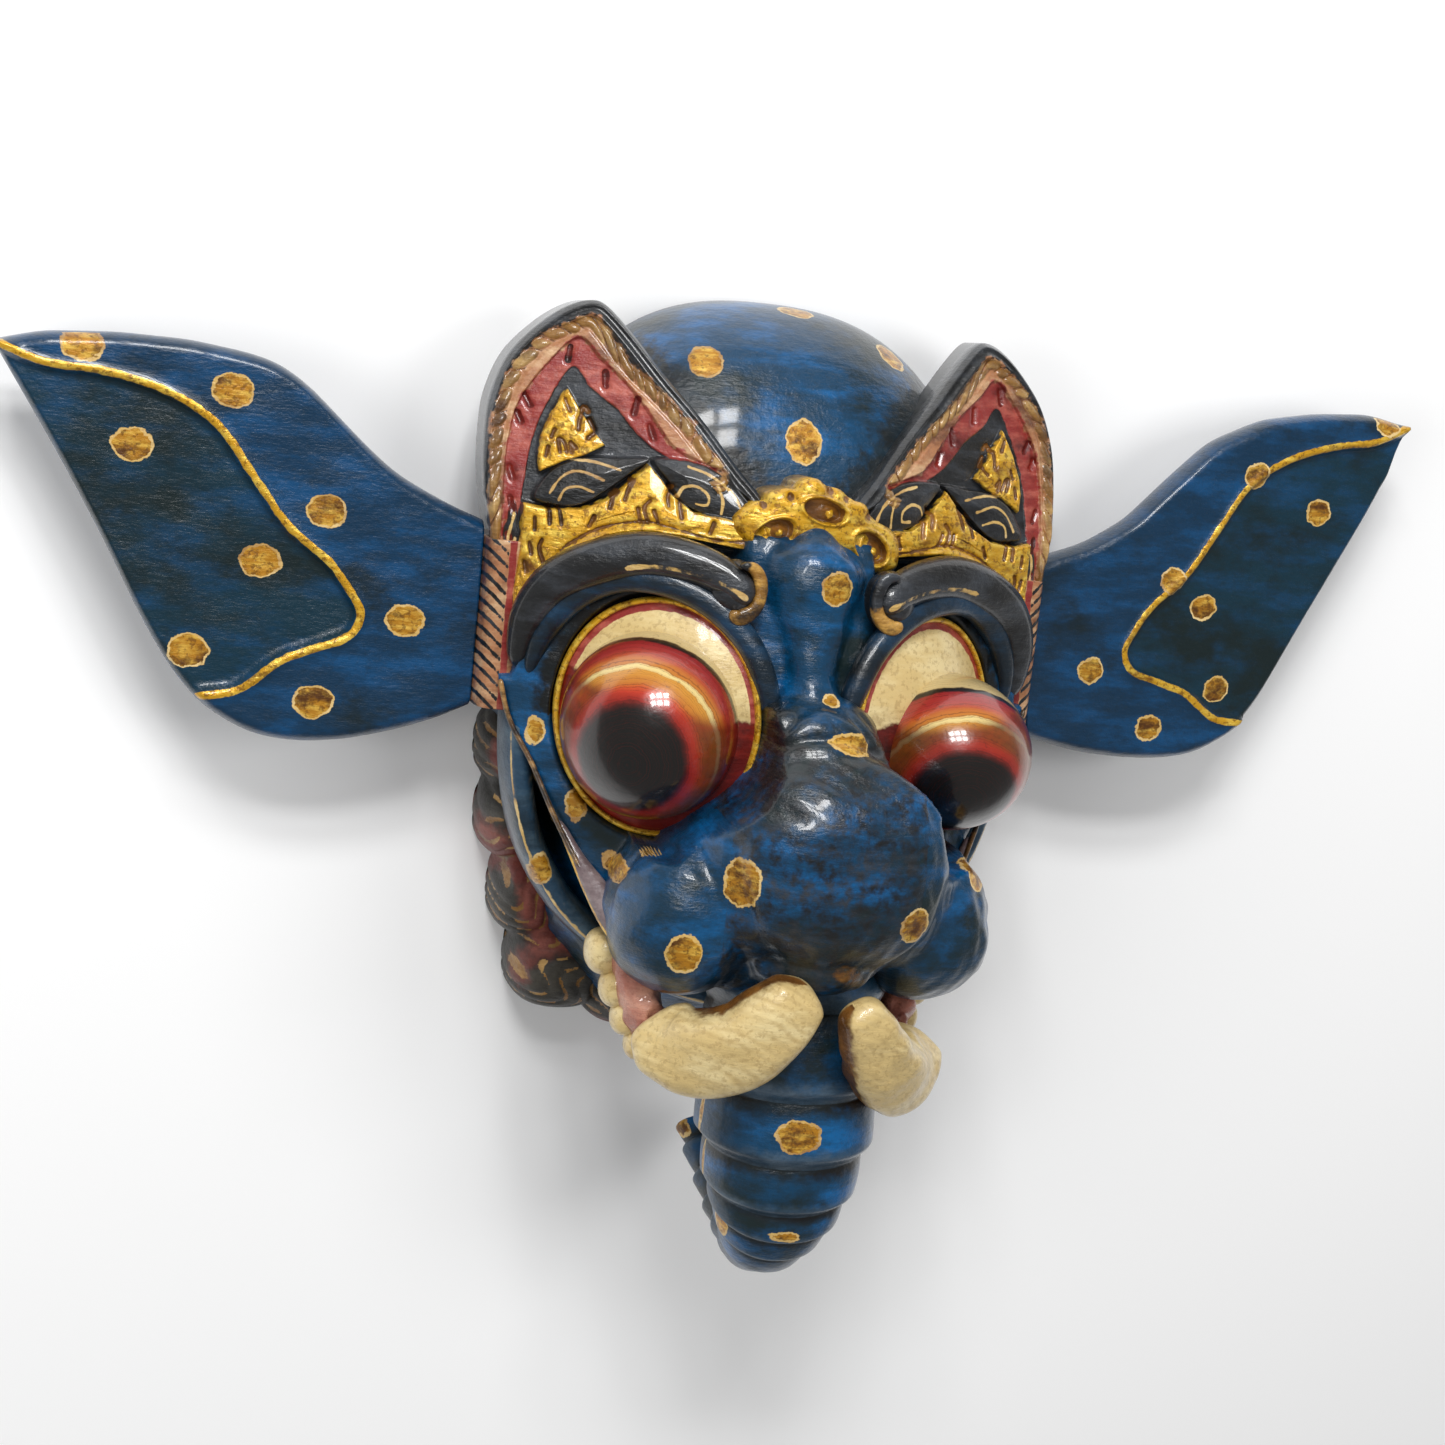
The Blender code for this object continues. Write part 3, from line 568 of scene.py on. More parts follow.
class Graph:
    """Builds one material's nodes, with the noises that its paints share."""

    def __init__(self, name: str) -> None:
        """Start an empty material.

        Args:
            name: The material's name.
        """
        self.material = bpy.data.materials.new(name)
        self.material.use_nodes = True
        self.tree = self.material.node_tree
        self.tree.nodes.clear()
        self.coords = self.tree.nodes.new("ShaderNodeTexCoord").outputs["Object"]
        self.cache: Dict[Tuple, Socket] = {}

    def link(self, source: Feed, target: Socket) -> None:
        """Join a socket, or set a plain value, on a target socket.

        Args:
            source: A socket or a plain value.
            target: Where it goes.
        """
        if isinstance(source, Socket):
            self.tree.links.new(source, target)
        else:
            target.default_value = source

    def noise(self, scale: float, detail: float = 4.0, rough: float = 0.6,
              stretch: Tuple[float, float, float] = (1, 1, 1), seed: float = 0.0) -> Socket:
        """A noise in object space, stretched and moved by a Mapping node.

        Args:
            scale: Bumps in a metre.
            detail: Finer layers.
            rough: How strong the finer layers are.
            stretch: Scale along each axis.
            seed: Which part of the noise.

        Returns:
            The noise, about 0 to 1.
        """
        key = (scale, detail, rough, stretch, seed)
        if key not in self.cache:
            mapping = self.tree.nodes.new("ShaderNodeMapping")
            mapping.inputs["Scale"].default_value = stretch
            mapping.inputs["Location"].default_value = (seed, seed * 0.7, -seed)
            self.link(self.coords, mapping.inputs["Vector"])
            node = self.tree.nodes.new("ShaderNodeTexNoise")
            node.inputs["Scale"].default_value = scale
            node.inputs["Detail"].default_value = detail
            node.inputs["Roughness"].default_value = rough
            self.link(mapping.outputs["Vector"], node.inputs["Vector"])
            self.cache[key] = node.outputs["Fac"]
        return self.cache[key]

    def math(self, operation: str, a: Feed, b: Feed = 0.0) -> Socket:
        """One Math node.

        Args:
            operation: The node's operation.
            a: First value.
            b: Second value.

        Returns:
            The result.
        """
        node = self.tree.nodes.new("ShaderNodeMath")
        node.operation = operation
        self.link(a, node.inputs[0])
        self.link(b, node.inputs[1])
        return node.outputs[0]

    def mix(self, factor: Feed, a: Feed, b: Feed) -> Socket:
        """Two colours mixed by a factor.

        Args:
            factor: Share of the second.
            a: First colour.
            b: Second colour.

        Returns:
            The mixed colour.
        """
        node = self.tree.nodes.new("ShaderNodeMix")
        node.data_type = "RGBA"
        self.link(factor, node.inputs[0])
        for value, socket in ((a, node.inputs[6]), (b, node.inputs[7])):
            self.link((*value, 1.0) if isinstance(value, tuple) else value, socket)
        return node.outputs[2]

    def blend(self, factor: Feed, a: Feed, b: Feed) -> Socket:
        """Two numbers mixed by a factor.

        Args:
            factor: Share of the second.
            a: First number.
            b: Second number.

        Returns:
            The mixed number.
        """
        node = self.tree.nodes.new("ShaderNodeMix")
        node.data_type = "FLOAT"
        self.link(factor, node.inputs[0])
        self.link(a, node.inputs[2])
        self.link(b, node.inputs[3])
        return node.outputs[0]

    def step(self, value: Socket, low: float, high: float) -> Socket:
        """A soft threshold between two values.

        Args:
            value: The number.
            low: Where it gives 0.
            high: Where it gives 1.

        Returns:
            The stepped number.
        """
        node = self.tree.nodes.new("ShaderNodeMapRange")
        node.interpolation_type = "SMOOTHSTEP"
        node.inputs["From Min"].default_value = low
        node.inputs["From Max"].default_value = high
        self.link(value, node.inputs["Value"])
        return node.outputs["Result"]

    def attribute(self, name: str) -> Socket:
        """A field stored on the vertices.

        Args:
            name: The field's name.

        Returns:
            Its values.
        """
        node = self.tree.nodes.new("ShaderNodeAttribute")
        node.attribute_name = name
        return node.outputs["Fac"]

    def varnished(self, colour: Feed, rough: Feed, metal: Feed, height: Feed,
                  bump: Tuple[float, float], coat: Tuple[float, float]) -> bpy.types.Material:
        """The shader, its relief and its varnish.

        Args:
            colour: Base colour.
            rough: Roughness.
            metal: Metallic share.
            height: Relief.
            bump: The relief's strength, and its depth in metres.
            coat: The varnish's weight and roughness.

        Returns:
            The finished material.
        """
        relief = self.tree.nodes.new("ShaderNodeBump")
        relief.inputs["Strength"].default_value = bump[0]
        relief.inputs["Distance"].default_value = bump[1]
        self.link(height, relief.inputs["Height"])
        shader = self.tree.nodes.new("ShaderNodeBsdfPrincipled")
        self.link(colour, shader.inputs["Base Color"])
        self.link(rough, shader.inputs["Roughness"])
        self.link(metal, shader.inputs["Metallic"])
        self.link(relief.outputs["Normal"], shader.inputs["Normal"])
        shader.inputs["Coat Weight"].default_value = coat[0]
        shader.inputs["Coat Roughness"].default_value = coat[1]
        out = self.tree.nodes.new("ShaderNodeOutputMaterial")
        self.link(shader.outputs["BSDF"], out.inputs["Surface"])
        return self.material

    def brushed(self, paint: Paint, seed: float) -> Socket:
        """The colour of one paint: light strokes, antiqued patches and dark specks.

        Args:
            paint: The paint.
            seed: Which part of the noises.

        Returns:
            The colour.
        """
        strokes = self.noise(34.0 * paint.grain, 5.0, 0.62, (1.0, 3.2, 1.6), seed)
        patches = self.noise(21.0 * paint.grain, 6.0, 0.66, (1.0, 1.5, 1.2), seed + 4.0)
        specks = self.noise(520.0, 3.0, 0.7, (1, 1, 1), seed + 9.0)
        colour = self.mix(self.step(strokes, 0.42, 0.68), paint.base, paint.light)
        edge = 1.0 - paint.patchy
        colour = self.mix(self.step(patches, edge - 0.06, edge + 0.16), colour, paint.deep)
        spots = self.math("MULTIPLY", self.step(specks, 0.52, 0.62), paint.speckle)
        return self.mix(spots, colour, paint.deep)


@dataclass(frozen=True)
class Layer:
    """A paint laid over the ones below it where its field is positive."""

    field: str
    paint: Paint
    ragged: float = 0.5
    soft: float = 0.12


@dataclass(frozen=True)
class Lacquer:
    """Painted wood under a clear varnish: a ground paint and the layers over it."""

    name: str
    ground: Paint
    layers: Tuple[Layer, ...] = ()
    bump: float = 0.35
    coat: float = 0.45

    def material(self) -> bpy.types.Material:
        """Build the node material.

        Returns:
            The finished material.
        """
        graph = Graph(self.name)
        colour = graph.brushed(self.ground, 0.0)
        rough = self.ground.roughness
        metal = self.ground.metallic
        ragged = graph.noise(260.0, 3.0, 0.6, (1, 1, 1), 2.0)
        for k, layer in enumerate(self.layers):
            shake = graph.math("MULTIPLY", graph.math("SUBTRACT", ragged, 0.5), 4.0 * layer.ragged)
            reach = graph.math("ADD", graph.attribute(layer.field), shake)
            mask = graph.step(reach, -layer.soft, layer.soft)
            colour = graph.mix(mask, colour, graph.brushed(layer.paint, 1.3 * (k + 1)))
            rough = graph.blend(mask, rough, layer.paint.roughness)
            metal = graph.blend(mask, metal, layer.paint.metallic)
        lumps = graph.noise(88.0, 5.0, 0.6, (1.0, 1.0, 1.0), 5.0)
        hairs = graph.noise(240.0, 5.0, 0.65, (1.0, 4.0, 1.0), 7.0)
        height = graph.math("ADD", graph.math("MULTIPLY", lumps, 1.5),
                            graph.math("MULTIPLY", hairs, 0.45))
        return graph.varnished(colour, rough, metal, height, (self.bump, 0.0022), (self.coat, 0.09))


def dress(obj: bpy.types.Object, finish: Lacquer) -> bpy.types.Object:
    """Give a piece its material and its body.

    Args:
        obj: The piece.
        finish: Its finish.

    Returns:
        The piece.
    """
    obj.data.materials.clear()
    obj.data.materials.append(finish.material())
    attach(obj, "root")
    return obj


@dataclass(frozen=True)
class Dot:
    """A gold dot on the blue: its middle in carving millimetres and its three half sizes."""

    x: float
    y: float
    z: float
    wide: float = 7.0
    tall: float = 5.6
    deep: float = 14.0


def dot_fields(points: Array, dots: Sequence[Dot]) -> Dict[str, Array]:
    """Distance inside the nearest dot, and inside its gold heart.

    A dot is where the skin passes through an ellipsoid: d = size * (1 - |offset / size|).

    Args:
        points: The piece's vertices.
        dots: The dots.

    Returns:
        Both fields by name.
    """
    best = np.full(len(points), NOWHERE)
    for dot in dots:
        size = np.array([dot.wide, dot.tall, dot.deep])
        off = (points - (dot.x, dot.y, dot.z)) / size
        best = np.maximum(best, (1 - np.linalg.norm(off, axis=1)) * min(dot.wide, dot.tall))
    return {"dot": best, "dot_heart": best - 0.7}


DOT_LAYERS = (Layer("dot", LINE_CREAM, 0.7), Layer("dot_heart", DOT_GOLD, 0.9))


# Head


@dataclass
class Head:
    """The domed head with its flat rim and the hollow behind."""

    half_width: float = 89.0
    jaw_half_width: float = 80.0
    centre_y: float = -8.0
    crown_rise: float = 132.0
    chin_drop: float = 130.0
    height: float = 70.0
    wall: float = 15.0
    hollow: float = 48.0
    around: int = 300
    dots: Tuple[Dot, ...] = (Dot(6.8, 121.7, 18.4, 6.5, 6, 6.5), Dot(-31.2, 101.5, 44.4, 6, 6.6, 8),
                             Dot(39.8, 109.6, 29.3, 6, 6.6, 8), Dot(0.6, 78.3, 61.2, 6.4, 7.8))

    def outline(self, inset: float = 0.0) -> Tuple[Array, Array]:
        """The head from the front: superellipse quarters, wide above and narrow at the jaw.

        Args:
            inset: How far inside the rim.

        Returns:
            X and Y around the head.
        """
        t = np.arange(self.around) * 2 * math.pi / self.around
        c, s = np.cos(t), np.sin(t)
        upper = s >= 0
        power = np.where(upper, 2.5, 2.6)
        spread = (self.half_width - self.jaw_half_width) * (1 - np.abs(s)) ** 2
        width = np.where(upper, self.half_width, self.jaw_half_width + spread) - inset
        rise = np.where(upper, self.crown_rise, self.chin_drop) - inset
        return (width * np.sign(c) * np.abs(c) ** (2 / power),
                self.centre_y + rise * np.sign(s) * np.abs(s) ** (2 / power))

    def dome(self, inset: float, height: float, rows: int) -> Array:
        """Rings from the top of a dome down to its rim: z = h (1 - r^3.2)^(1 / 2.2).

        Args:
            inset: How far inside the rim.
            height: Height at the top.
            rows: How many rings.

        Returns:
            A grid of points.
        """
        x, y = self.outline(inset)
        r = np.cos(0.5 * math.pi * np.linspace(0, 1, rows)[::-1]) ** 0.5
        r[0] = 0.0
        z = height * np.clip(1 - r ** 3.2, 0, 1) ** (1 / 2.2)
        return np.stack([r[:, None] * x, self.centre_y + r[:, None] * (y - self.centre_y),
                         np.broadcast_to(z[:, None], (rows, self.around))], axis=-1)

    def hollow_height(self, pts: Array) -> Array:
        """How high the hollow stands over each point, and a low value outside it.

        With r the point's share of the way to the hollow's outline, z = h (1 - r^3.2)^(1 / 2.2).

        Args:
            pts: Points in carving millimetres.

        Returns:
            One height for each point.
        """
        x, y = np.abs(pts[:, 0]), pts[:, 1] - self.centre_y
        upper = y >= 0
        power = np.where(upper, 2.5, 2.6)
        half = np.where(upper, self.half_width, self.jaw_half_width + 2.0) - self.wall
        tall = np.where(upper, self.crown_rise, self.chin_drop) - self.wall
        r = ((x / half) ** power + (np.abs(y) / tall) ** power) ** (1 / power)
        return np.where(r < 1, self.hollow * np.clip(1 - r ** 3.2, 0, 1) ** (1 / 2.2), NOWHERE)

    def build(self) -> List[bpy.types.Object]:
        """The outer dome, the rim and the gouged hollow as one closed skin.

        Returns:
            The head.
        """
        outer = self.dome(0.0, self.height, 96)
        inner = self.dome(self.wall, self.hollow, 60)[::-1]
        depth, width = 0.9, 4.2
        fade = smoothstep(inner[..., 2], 2.0, 12.0)
        gouge = depth * np.abs(np.sin(inner[..., 0] / width + 0.4 * wobble(inner, 40.0, 2.0)))
        inner[..., 2] += gouge * fade - depth * fade
        mid = 0.5 * (outer[-1:] + inner[:1])
        grid = np.concatenate([outer, mid, inner])
        rows = np.arange(len(grid))[:, None] * np.ones((1, self.around))
        bare = np.where(rows >= len(outer), 2.0, -2.0).ravel()
        flat = grid.reshape(-1, 3)
        fields = {**dot_fields(flat, self.dots), "bare": bare}
        for name in ("dot", "dot_heart"):
            fields[name] = np.where(bare > 0, NOWHERE, fields[name])
        # Painted shade: dark paint along the partings where the dome meets the crown plates.
        parting = [(8, 50), (18, 60), (36, 83), (58, 108), (71, 118)]
        near = np.minimum(*[distance_to(flat[:, :2], curve(mirrored(parting, side), 40))
                            for side in Side])
        fields["shade"] = np.where(bare > 0, NOWHERE, 6.5 - near)
        head = surface("head", grid, (False, True), fields)
        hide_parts("mask")
        layers = (Layer("shade", SHADE, 4.0, 4.0), Layer("bare", WOOD, 0.3, 0.4))
        return [dress(head, Lacquer("head_paint", BLUE, layers + DOT_LAYERS))]


# Face


def eye_plane(x: Array, y: Array) -> Array:
    """Height of the slanted plane that an eye's rim lies on."""
    return 80.8 + 0.59 * (46.5 - np.abs(x)) - 0.057 * (y + 14.0)


def eye_share(pts: Array, eye: Tuple[float, float, float, float]) -> Array:
    """1 on an eye's rim, less inside it: the length of the offset over the rim's half sizes."""
    return np.hypot((np.abs(pts[:, 0]) - eye[0]) / eye[2], (pts[:, 1] - eye[1]) / eye[3])


@dataclass
class Face:
    """The blue face: cheeks, bridge, wrinkles, snout and its side pads in one skin."""

    snout_half_width: float = 44.5
    snout_x: float = 7.0
    lean: float = 4.0
    pad_x: float = 40.0
    snout_y: float = -52.0
    snout_tip: float = 144.0
    eye: Tuple[float, float, float, float] = (46.5, -14.0, 29.5, 38.0)
    voxel: float = 1.2
    dots: Tuple[Dot, ...] = (
        Dot(4.9, 33.7, 98.6, 5.8, 5.8), Dot(4.2, -1.9, 105.9, 3, 3, 4),
        Dot(7.7, -12.9, 120.7, 8.5, 3.8, 6), Dot(-26.7, -56.6, 129.7, 5.0, 8.4),
        Dot(28.4, -66.4, 138.7, 5.3, 6.4), Dot(-41.8, -81.4, 124.7, 5.6, 6.8),
        Dot(-81.9, -23.6, 62.2, 3.2, 5), Dot(-67.9, -46.1, 71, 3.6, 5.6),
        Dot(-57.7, -61.9, 90.3, 3.8, 4.4), Dot(-49.4, -53, 102.8, 4.4, 3.2, 5),
        Dot(58, -55.4, 112.0, 5, 5))

    def cheek_form(self) -> Array:
        """Cross sections that narrow down the mouth line and rise to the muzzle.

        Returns:
            A closed grid of points.
        """
        down = [48, 20, -10, -30, -50, -68, -84, -98]
        half = [86, 92, 94, 85, 75, 65, 54, 42]
        edge = [56, 56, 56, 60, 68, 76, 88, 94]
        ridge = [84, 91, 95, 97, 103, 111, 115, 108]
        y, w, ze, zr = (along(v, 90)[:, None] for v in (down, half, edge, ridge))
        t = np.linspace(-1, 1, 61)[None, :]
        x = w * t
        keel = 20.0 / w
        rise = np.clip((1 - np.abs(t)) / (1 - keel), 0, 1) ** 1.05
        z = ze + (zr - ze) * rise + 2.0 * np.clip(1 - np.abs(t) / keel, 0, 1)
        top = np.stack([x, np.broadcast_to(y, x.shape), z], axis=-1)
        low = top.copy()[:, ::-1]
        low[..., 0] *= 0.95
        low[..., 2] = 26.0
        grid = np.concatenate([top, low], axis=1)
        return capped(grid)

    def bridge_form(self) -> Array:
        """The knob between the brows, its waist and the start of the snout.

        Returns:
            A closed grid of points.
        """
        y = along([52, 46, 38, 26, 13, 3, -7, -16], 60)
        half = along([4, 14, 20, 18.5, 13.5, 11.5, 15, 21], 60)[:, None]
        top = along([86, 94, 99.5, 100, 101.5, 104, 110, 112], 60)[:, None]
        c, s = ring_shape(40, 2.2)
        grid = np.stack([half * c, np.broadcast_to(y[:, None], (60, 40)), 72 + (top - 72) * s],
                        axis=-1)
        return capped(grid)

    def build(self) -> List[bpy.types.Object]:
        """Grow the face, press in its sockets and folds and paint it.

        Returns:
            The face.
        """
        reach = self.snout_tip - 98.0
        forms = [self.cheek_form(), self.bridge_form(),
                 blob((0, -20, 100), (26, 20, 25)),
                 blob((self.snout_x, self.snout_y, 98), (self.snout_half_width, 39, reach),
                      power=2.5),
                 blob((self.lean, -84, 112), (22, 12, 20), power=2.2)]
        forms += [blob((self.lean - 17, -34, 103), (21, 24, 24), power=2.2),
                  blob((self.lean + 24, -37, 108), (22, 23, 24), power=2.2)]
        for side in Side:
            forms.append(blob((self.lean + side.value * self.pad_x, -73, 95), (24, 28, 31),
                              power=2.3, tilt=14.0 * side.value))
        face = fused("face", forms, self.voxel, 10)
        pts = carving_points(face)
        pts = self.press_crown(self.press_sockets(pts))
        pts = self.carve_folds(pts, point_normals(face))
        pts = self.keep_clear(pts)
        move_points(face, pts)
        store(face.data, {**dot_fields(pts, self.dots), **self.recess_fields(pts),
                          "shade": self.painted_shade_field(pts)})
        seat = curve([(-41, -98, 110), (-30, -98, 120), (-18, -93, 130), (-6, -85, 137),
                      (4, -84, 137), (14, -88, 132), (28, -98, 124)], 60)
        store(face.data, {"seat": 3.4 - distance_to(pts, seat)})
        # The shade layer is painted shade in the eye surrounds, folds and under the snout.
        layers = (Layer("shade", SHADE, 3.0, 3.2), Layer("recess", BLACK, 0.6, 0.5),
                  Layer("strokes", LINE_CREAM, 0.3, 0.2), Layer("seat", BROWN, 2.4, 1.2))
        return [dress(face, Lacquer("face_paint", BLUE, layers + DOT_LAYERS))]

    def press_sockets(self, pts: Array) -> Array:
        """Push the skin under each eye's rim down, but keep the snout's flanks beside it.

        Args:
            pts: The skin's points.

        Returns:
            The moved points.
        """
        r = eye_share(pts, self.eye)
        bed = eye_plane(pts[:, 0], pts[:, 1]) - 4.0
        down = [19, 26, 32, 42, 50, 61]
        flank = np.where(pts[:, 0] < 0, np.interp(-pts[:, 1], down, [12, 17, 21, 31.5, 40, 50]),
                         np.interp(-pts[:, 1], down, [21, 29, 35, 38, 41, 45]))
        inside_eye = 1 - smoothstep(r, 1.0, 1.08)
        beside = smoothstep(np.abs(pts[:, 0]) - flank, 0.0, 3.0)
        depth = np.maximum(pts[:, 2] - bed, 0) * inside_eye * beside * (pts[:, 2] > 50)
        pts = pts.copy()
        pts[:, 2] -= depth
        return pts

    def press_crown(self, pts: Array) -> Array:
        """Keep the skin above the brow rolls below the crown plates.

        Args:
            pts: The skin's points.

        Returns:
            The moved points.
        """
        out = np.abs(pts[:, 0])
        roll = np.interp(out, [22, 29, 40, 54, 68, 80, 87, 90],
                         [27, 33, 37, 38, 34, 26, 13, -6])
        above = smoothstep(pts[:, 1] - roll, -2.0, 1.5) * smoothstep(out, 21.0, 26.0)
        cap = plate_front(pts[:, 0], pts[:, 1]) - 5.0
        pts = pts.copy()
        pts[:, 2] -= np.maximum(pts[:, 2] - cap, 0) * above
        return pts

    def carve_folds(self, pts: Array, normals: Array) -> Array:
        """Grooves beside the nose and over the snout, and the unevenness of a knife.

        Args:
            pts: The skin's points.
            normals: Their normals.

        Returns:
            The moved points.
        """
        depth = 0.7 * wobble(pts, 30.0, 1.0) + 0.3 * wobble(pts, 11.0, 3.0)
        for side in Side:
            fold = curve(mirrored([(20, -22, 118), (36, -36, 110), (50, -52, 104),
                                   (58, -66, 98), (56, -80, 98)], side), 30)
            depth -= 1.8 * np.exp(-(distance_to(pts, fold) / 2.4) ** 2)
            crease = curve(mirrored([(37, -46, 132), (35, -60, 132), (29, -72, 132),
                                     (20, -84, 128)], side) + np.array([self.snout_x, 0, 0]), 30)
            depth -= 1.6 * np.exp(-(distance_to(pts[:, :2], crease[:, :2]) / 3.0) ** 2) * (
                pts[:, 2] > 100)
        for level, width in ((-1.5, 15.0), (-11.0, 25.0)):
            arc = np.stack([np.linspace(-width, width, 30),
                            level - 9.0 * np.linspace(-1, 1, 30) ** 2, np.full(30, 118.0)], axis=1)
            near = distance_to(pts[:, :2], arc[:, :2])
            depth -= 1.6 * np.exp(-(near / 1.7) ** 2) * (pts[:, 2] > 98)
        return pts + normals * depth[:, None]

    def keep_clear(self, pts: Array) -> Array:
        """Lift the skin out of the hollow and ease the snout's tip under the solid's front.

        Near the front, z = top - 3 exp(-(z - top + 3) / 3), which never reaches top.

        Args:
            pts: The skin's points.

        Returns:
            The moved points.
        """
        pts = pts.copy()
        pts[:, 2] = np.maximum(pts[:, 2], Head().hollow_height(pts) + 3.0)
        top = CAD_BOX[1][2] / MM - 0.4
        past = np.maximum(pts[:, 2] - (top - 3.0), 0.0)
        pts[:, 2] = np.where(past > 0, top - 3.0 * np.exp(-past / 3.0), pts[:, 2])
        return pts

    def painted_shade_field(self, pts: Array) -> Array:
        """Painted shade: dark paint round the eyes, beside the bridge, in the folds and under the
        snout.

        Args:
            pts: The skin's points.

        Returns:
            The field.
        """
        r = eye_share(pts, self.eye)
        out = np.where(pts[:, 1] > -18.0, 7.0, -2.0) - np.abs(r - 1.0) * 30.0
        for side in Side:
            fold = curve(mirrored([(10, 12, 98), (14, -6, 104), (27, -30, 110), (38, -42, 106),
                                   (52, -54, 102), (60, -66, 96), (56, -82, 98)], side), 40)
            out = np.maximum(out, 1.4 - distance_to(pts, fold))
        arc = curve([(-26, -22, 116), (-14, -12, 120), (0, -9, 122), (14, -12, 120),
                     (26, -22, 116)], 30)
        low = curve([(-24, -84, 124), (-8, -90, 132), (4, -86, 134), (18, -90, 130),
                     (34, -92, 120)], 30)
        out = np.maximum(out, 6.0 - distance_to(pts, low))
        return np.maximum(out, 2.6 - distance_to(pts, arc))

    def recess_fields(self, pts: Array) -> Dict[str, Array]:
        """The black side walls under the lips, with thin pale strokes across them.

        Args:
            pts: The skin's points.

        Returns:
            Both fields by name.
        """
        y = pts[:, 1]
        edge = np.interp(-y, [-20, 10, 30, 50, 68, 84, 98], [54, 54, 58, 66, 74, 86, 92])
        wall = (edge - pts[:, 2]) * (np.abs(pts[:, 0]) > 30)
        run = (y * 0.9 + pts[:, 2] * 0.45) % 4.6
        strokes = np.minimum(0.7 - np.abs(run - 2.3), wall - 3.0)
        return {"recess": np.where(y < -14, wall, -3.0), "strokes": np.where(y < -24, strokes, -3)}


# Eyes


@dataclass
class Eye:
    """One bulging, drooping eye: gold rim, red ring, cream white and the banded ball."""

    side: Side
    ball: Tuple[float, float, float]
    radii: Tuple[float, float, float]
    gaze: Tuple[float, float, float]
    centre: Tuple[float, float] = (46.5, -14.0)
    half: Tuple[float, float] = (29.5, 38.0)
    bead: Tuple[float, float] = (1.05, 2.2)
    dome: float = 9.5
    ring_from: float = 0.915

    @staticmethod
    def under(points: Array) -> Array:
        """How far a point lies below the line under which dark red painted shade covers the white
        and the ball.
        """
        return -11.0 + 0.2 * (np.abs(points[:, 0]) - 22.0) - points[:, 1]

    def plane_loop(self, scale: float, count: int = 200) -> Array:
        """An ellipse around the eye on its slanted plane.

        Args:
            scale: 1 on the rim.
            count: Points around.

        Returns:
            The loop's points.
        """
        t = np.arange(count) * 2 * math.pi / count
        x = self.side.value * self.centre[0] + self.half[0] * scale * np.cos(t)
        y = self.centre[1] + self.half[1] * scale * np.sin(t)
        return np.stack([x, y, eye_plane(x, y)], axis=1)

    def rim(self) -> bpy.types.Object:
        """A narrow bead carried around the ellipse.

        Returns:
            The bead.
        """
        loop = self.plane_loop(1.0)
        u, w = level_frame(np.roll(loop, -1, axis=0) - np.roll(loop, 1, axis=0))
        c, s = ring_shape(20)
        across, tall = self.bead
        grid = (loop[:, None] + across * c[None, :, None] * u[:, None]
                + tall * s[None, :, None] * w[:, None])
        bead = surface(f"eye_rim_{self.side.name.lower()}", grid, (True, True))
        return dress(bead, Lacquer("rim_gold", GOLD, bump=0.2))

    def white(self) -> bpy.types.Object:
        """The domed white inside the rim, ringed with red.

        Returns:
            The white.
        """
        rings = np.linspace(0, 1, 40)
        loop = self.plane_loop(1.0, 160)
        mid = np.array([self.side.value * self.centre[0], self.centre[1]])
        xy = mid + (loop[None, :, :2] - mid) * rings[:, None, None]
        rise = self.dome * (1 - rings ** 2)[:, None]
        z = eye_plane(xy[..., 0], xy[..., 1]) + rise
        grid = np.concatenate([xy, z[..., None]], axis=-1)
        skirt = grid[-1:].copy()
        skirt[..., 2] -= 6.0
        grid = np.concatenate([grid, skirt])
        floor = np.broadcast_to(np.append(mid, 60.0), grid[:1].shape)
        grid = np.concatenate([grid, floor])
        r = np.concatenate([rings, [1.0, 1.0]])[:, None] * np.ones((1, 160))
        fields = {"ring": ((r - self.ring_from) * 34.0).ravel(),
                  "under": self.under(grid.reshape(-1, 3))}
        disc = surface(f"eye_white_{self.side.name.lower()}", grid, (False, True), fields)
        # Painted shade: dark red over the white's lower part, below the line of under().
        layers = (Layer("ring", RED, 0.3), Layer("under", DARK_RED, 1.0, 0.8))
        return dress(disc, Lacquer("eye_white_paint", CREAM, layers, bump=0.25))

    def globe(self) -> bpy.types.Object:
        """The ball, with a field that counts degrees from the middle of the pupil.

        Returns:
            The ball.
        """
        sx = self.side.value
        grid = blob((sx * self.ball[0], self.ball[1], self.ball[2]), self.radii, 160, 90)
        flat = grid.reshape(-1, 3)
        rel = (flat - (sx * self.ball[0], self.ball[1], self.ball[2])) / self.radii
        axis = np.array(self.gaze)
        axis /= np.linalg.norm(axis)
        angle = np.degrees(np.arccos(np.clip(rel @ axis, -1, 1)))
        ball = surface(f"eye_ball_{self.side.name.lower()}", grid, (False, True),
                       {"angle": angle, "under": self.under(flat)})
        ball.data.materials.append(iris_material())
        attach(ball, "root")
        return ball

    def build(self) -> List[bpy.types.Object]:
        """All parts of the eye."""
        return [self.rim(), self.white(), self.globe()]


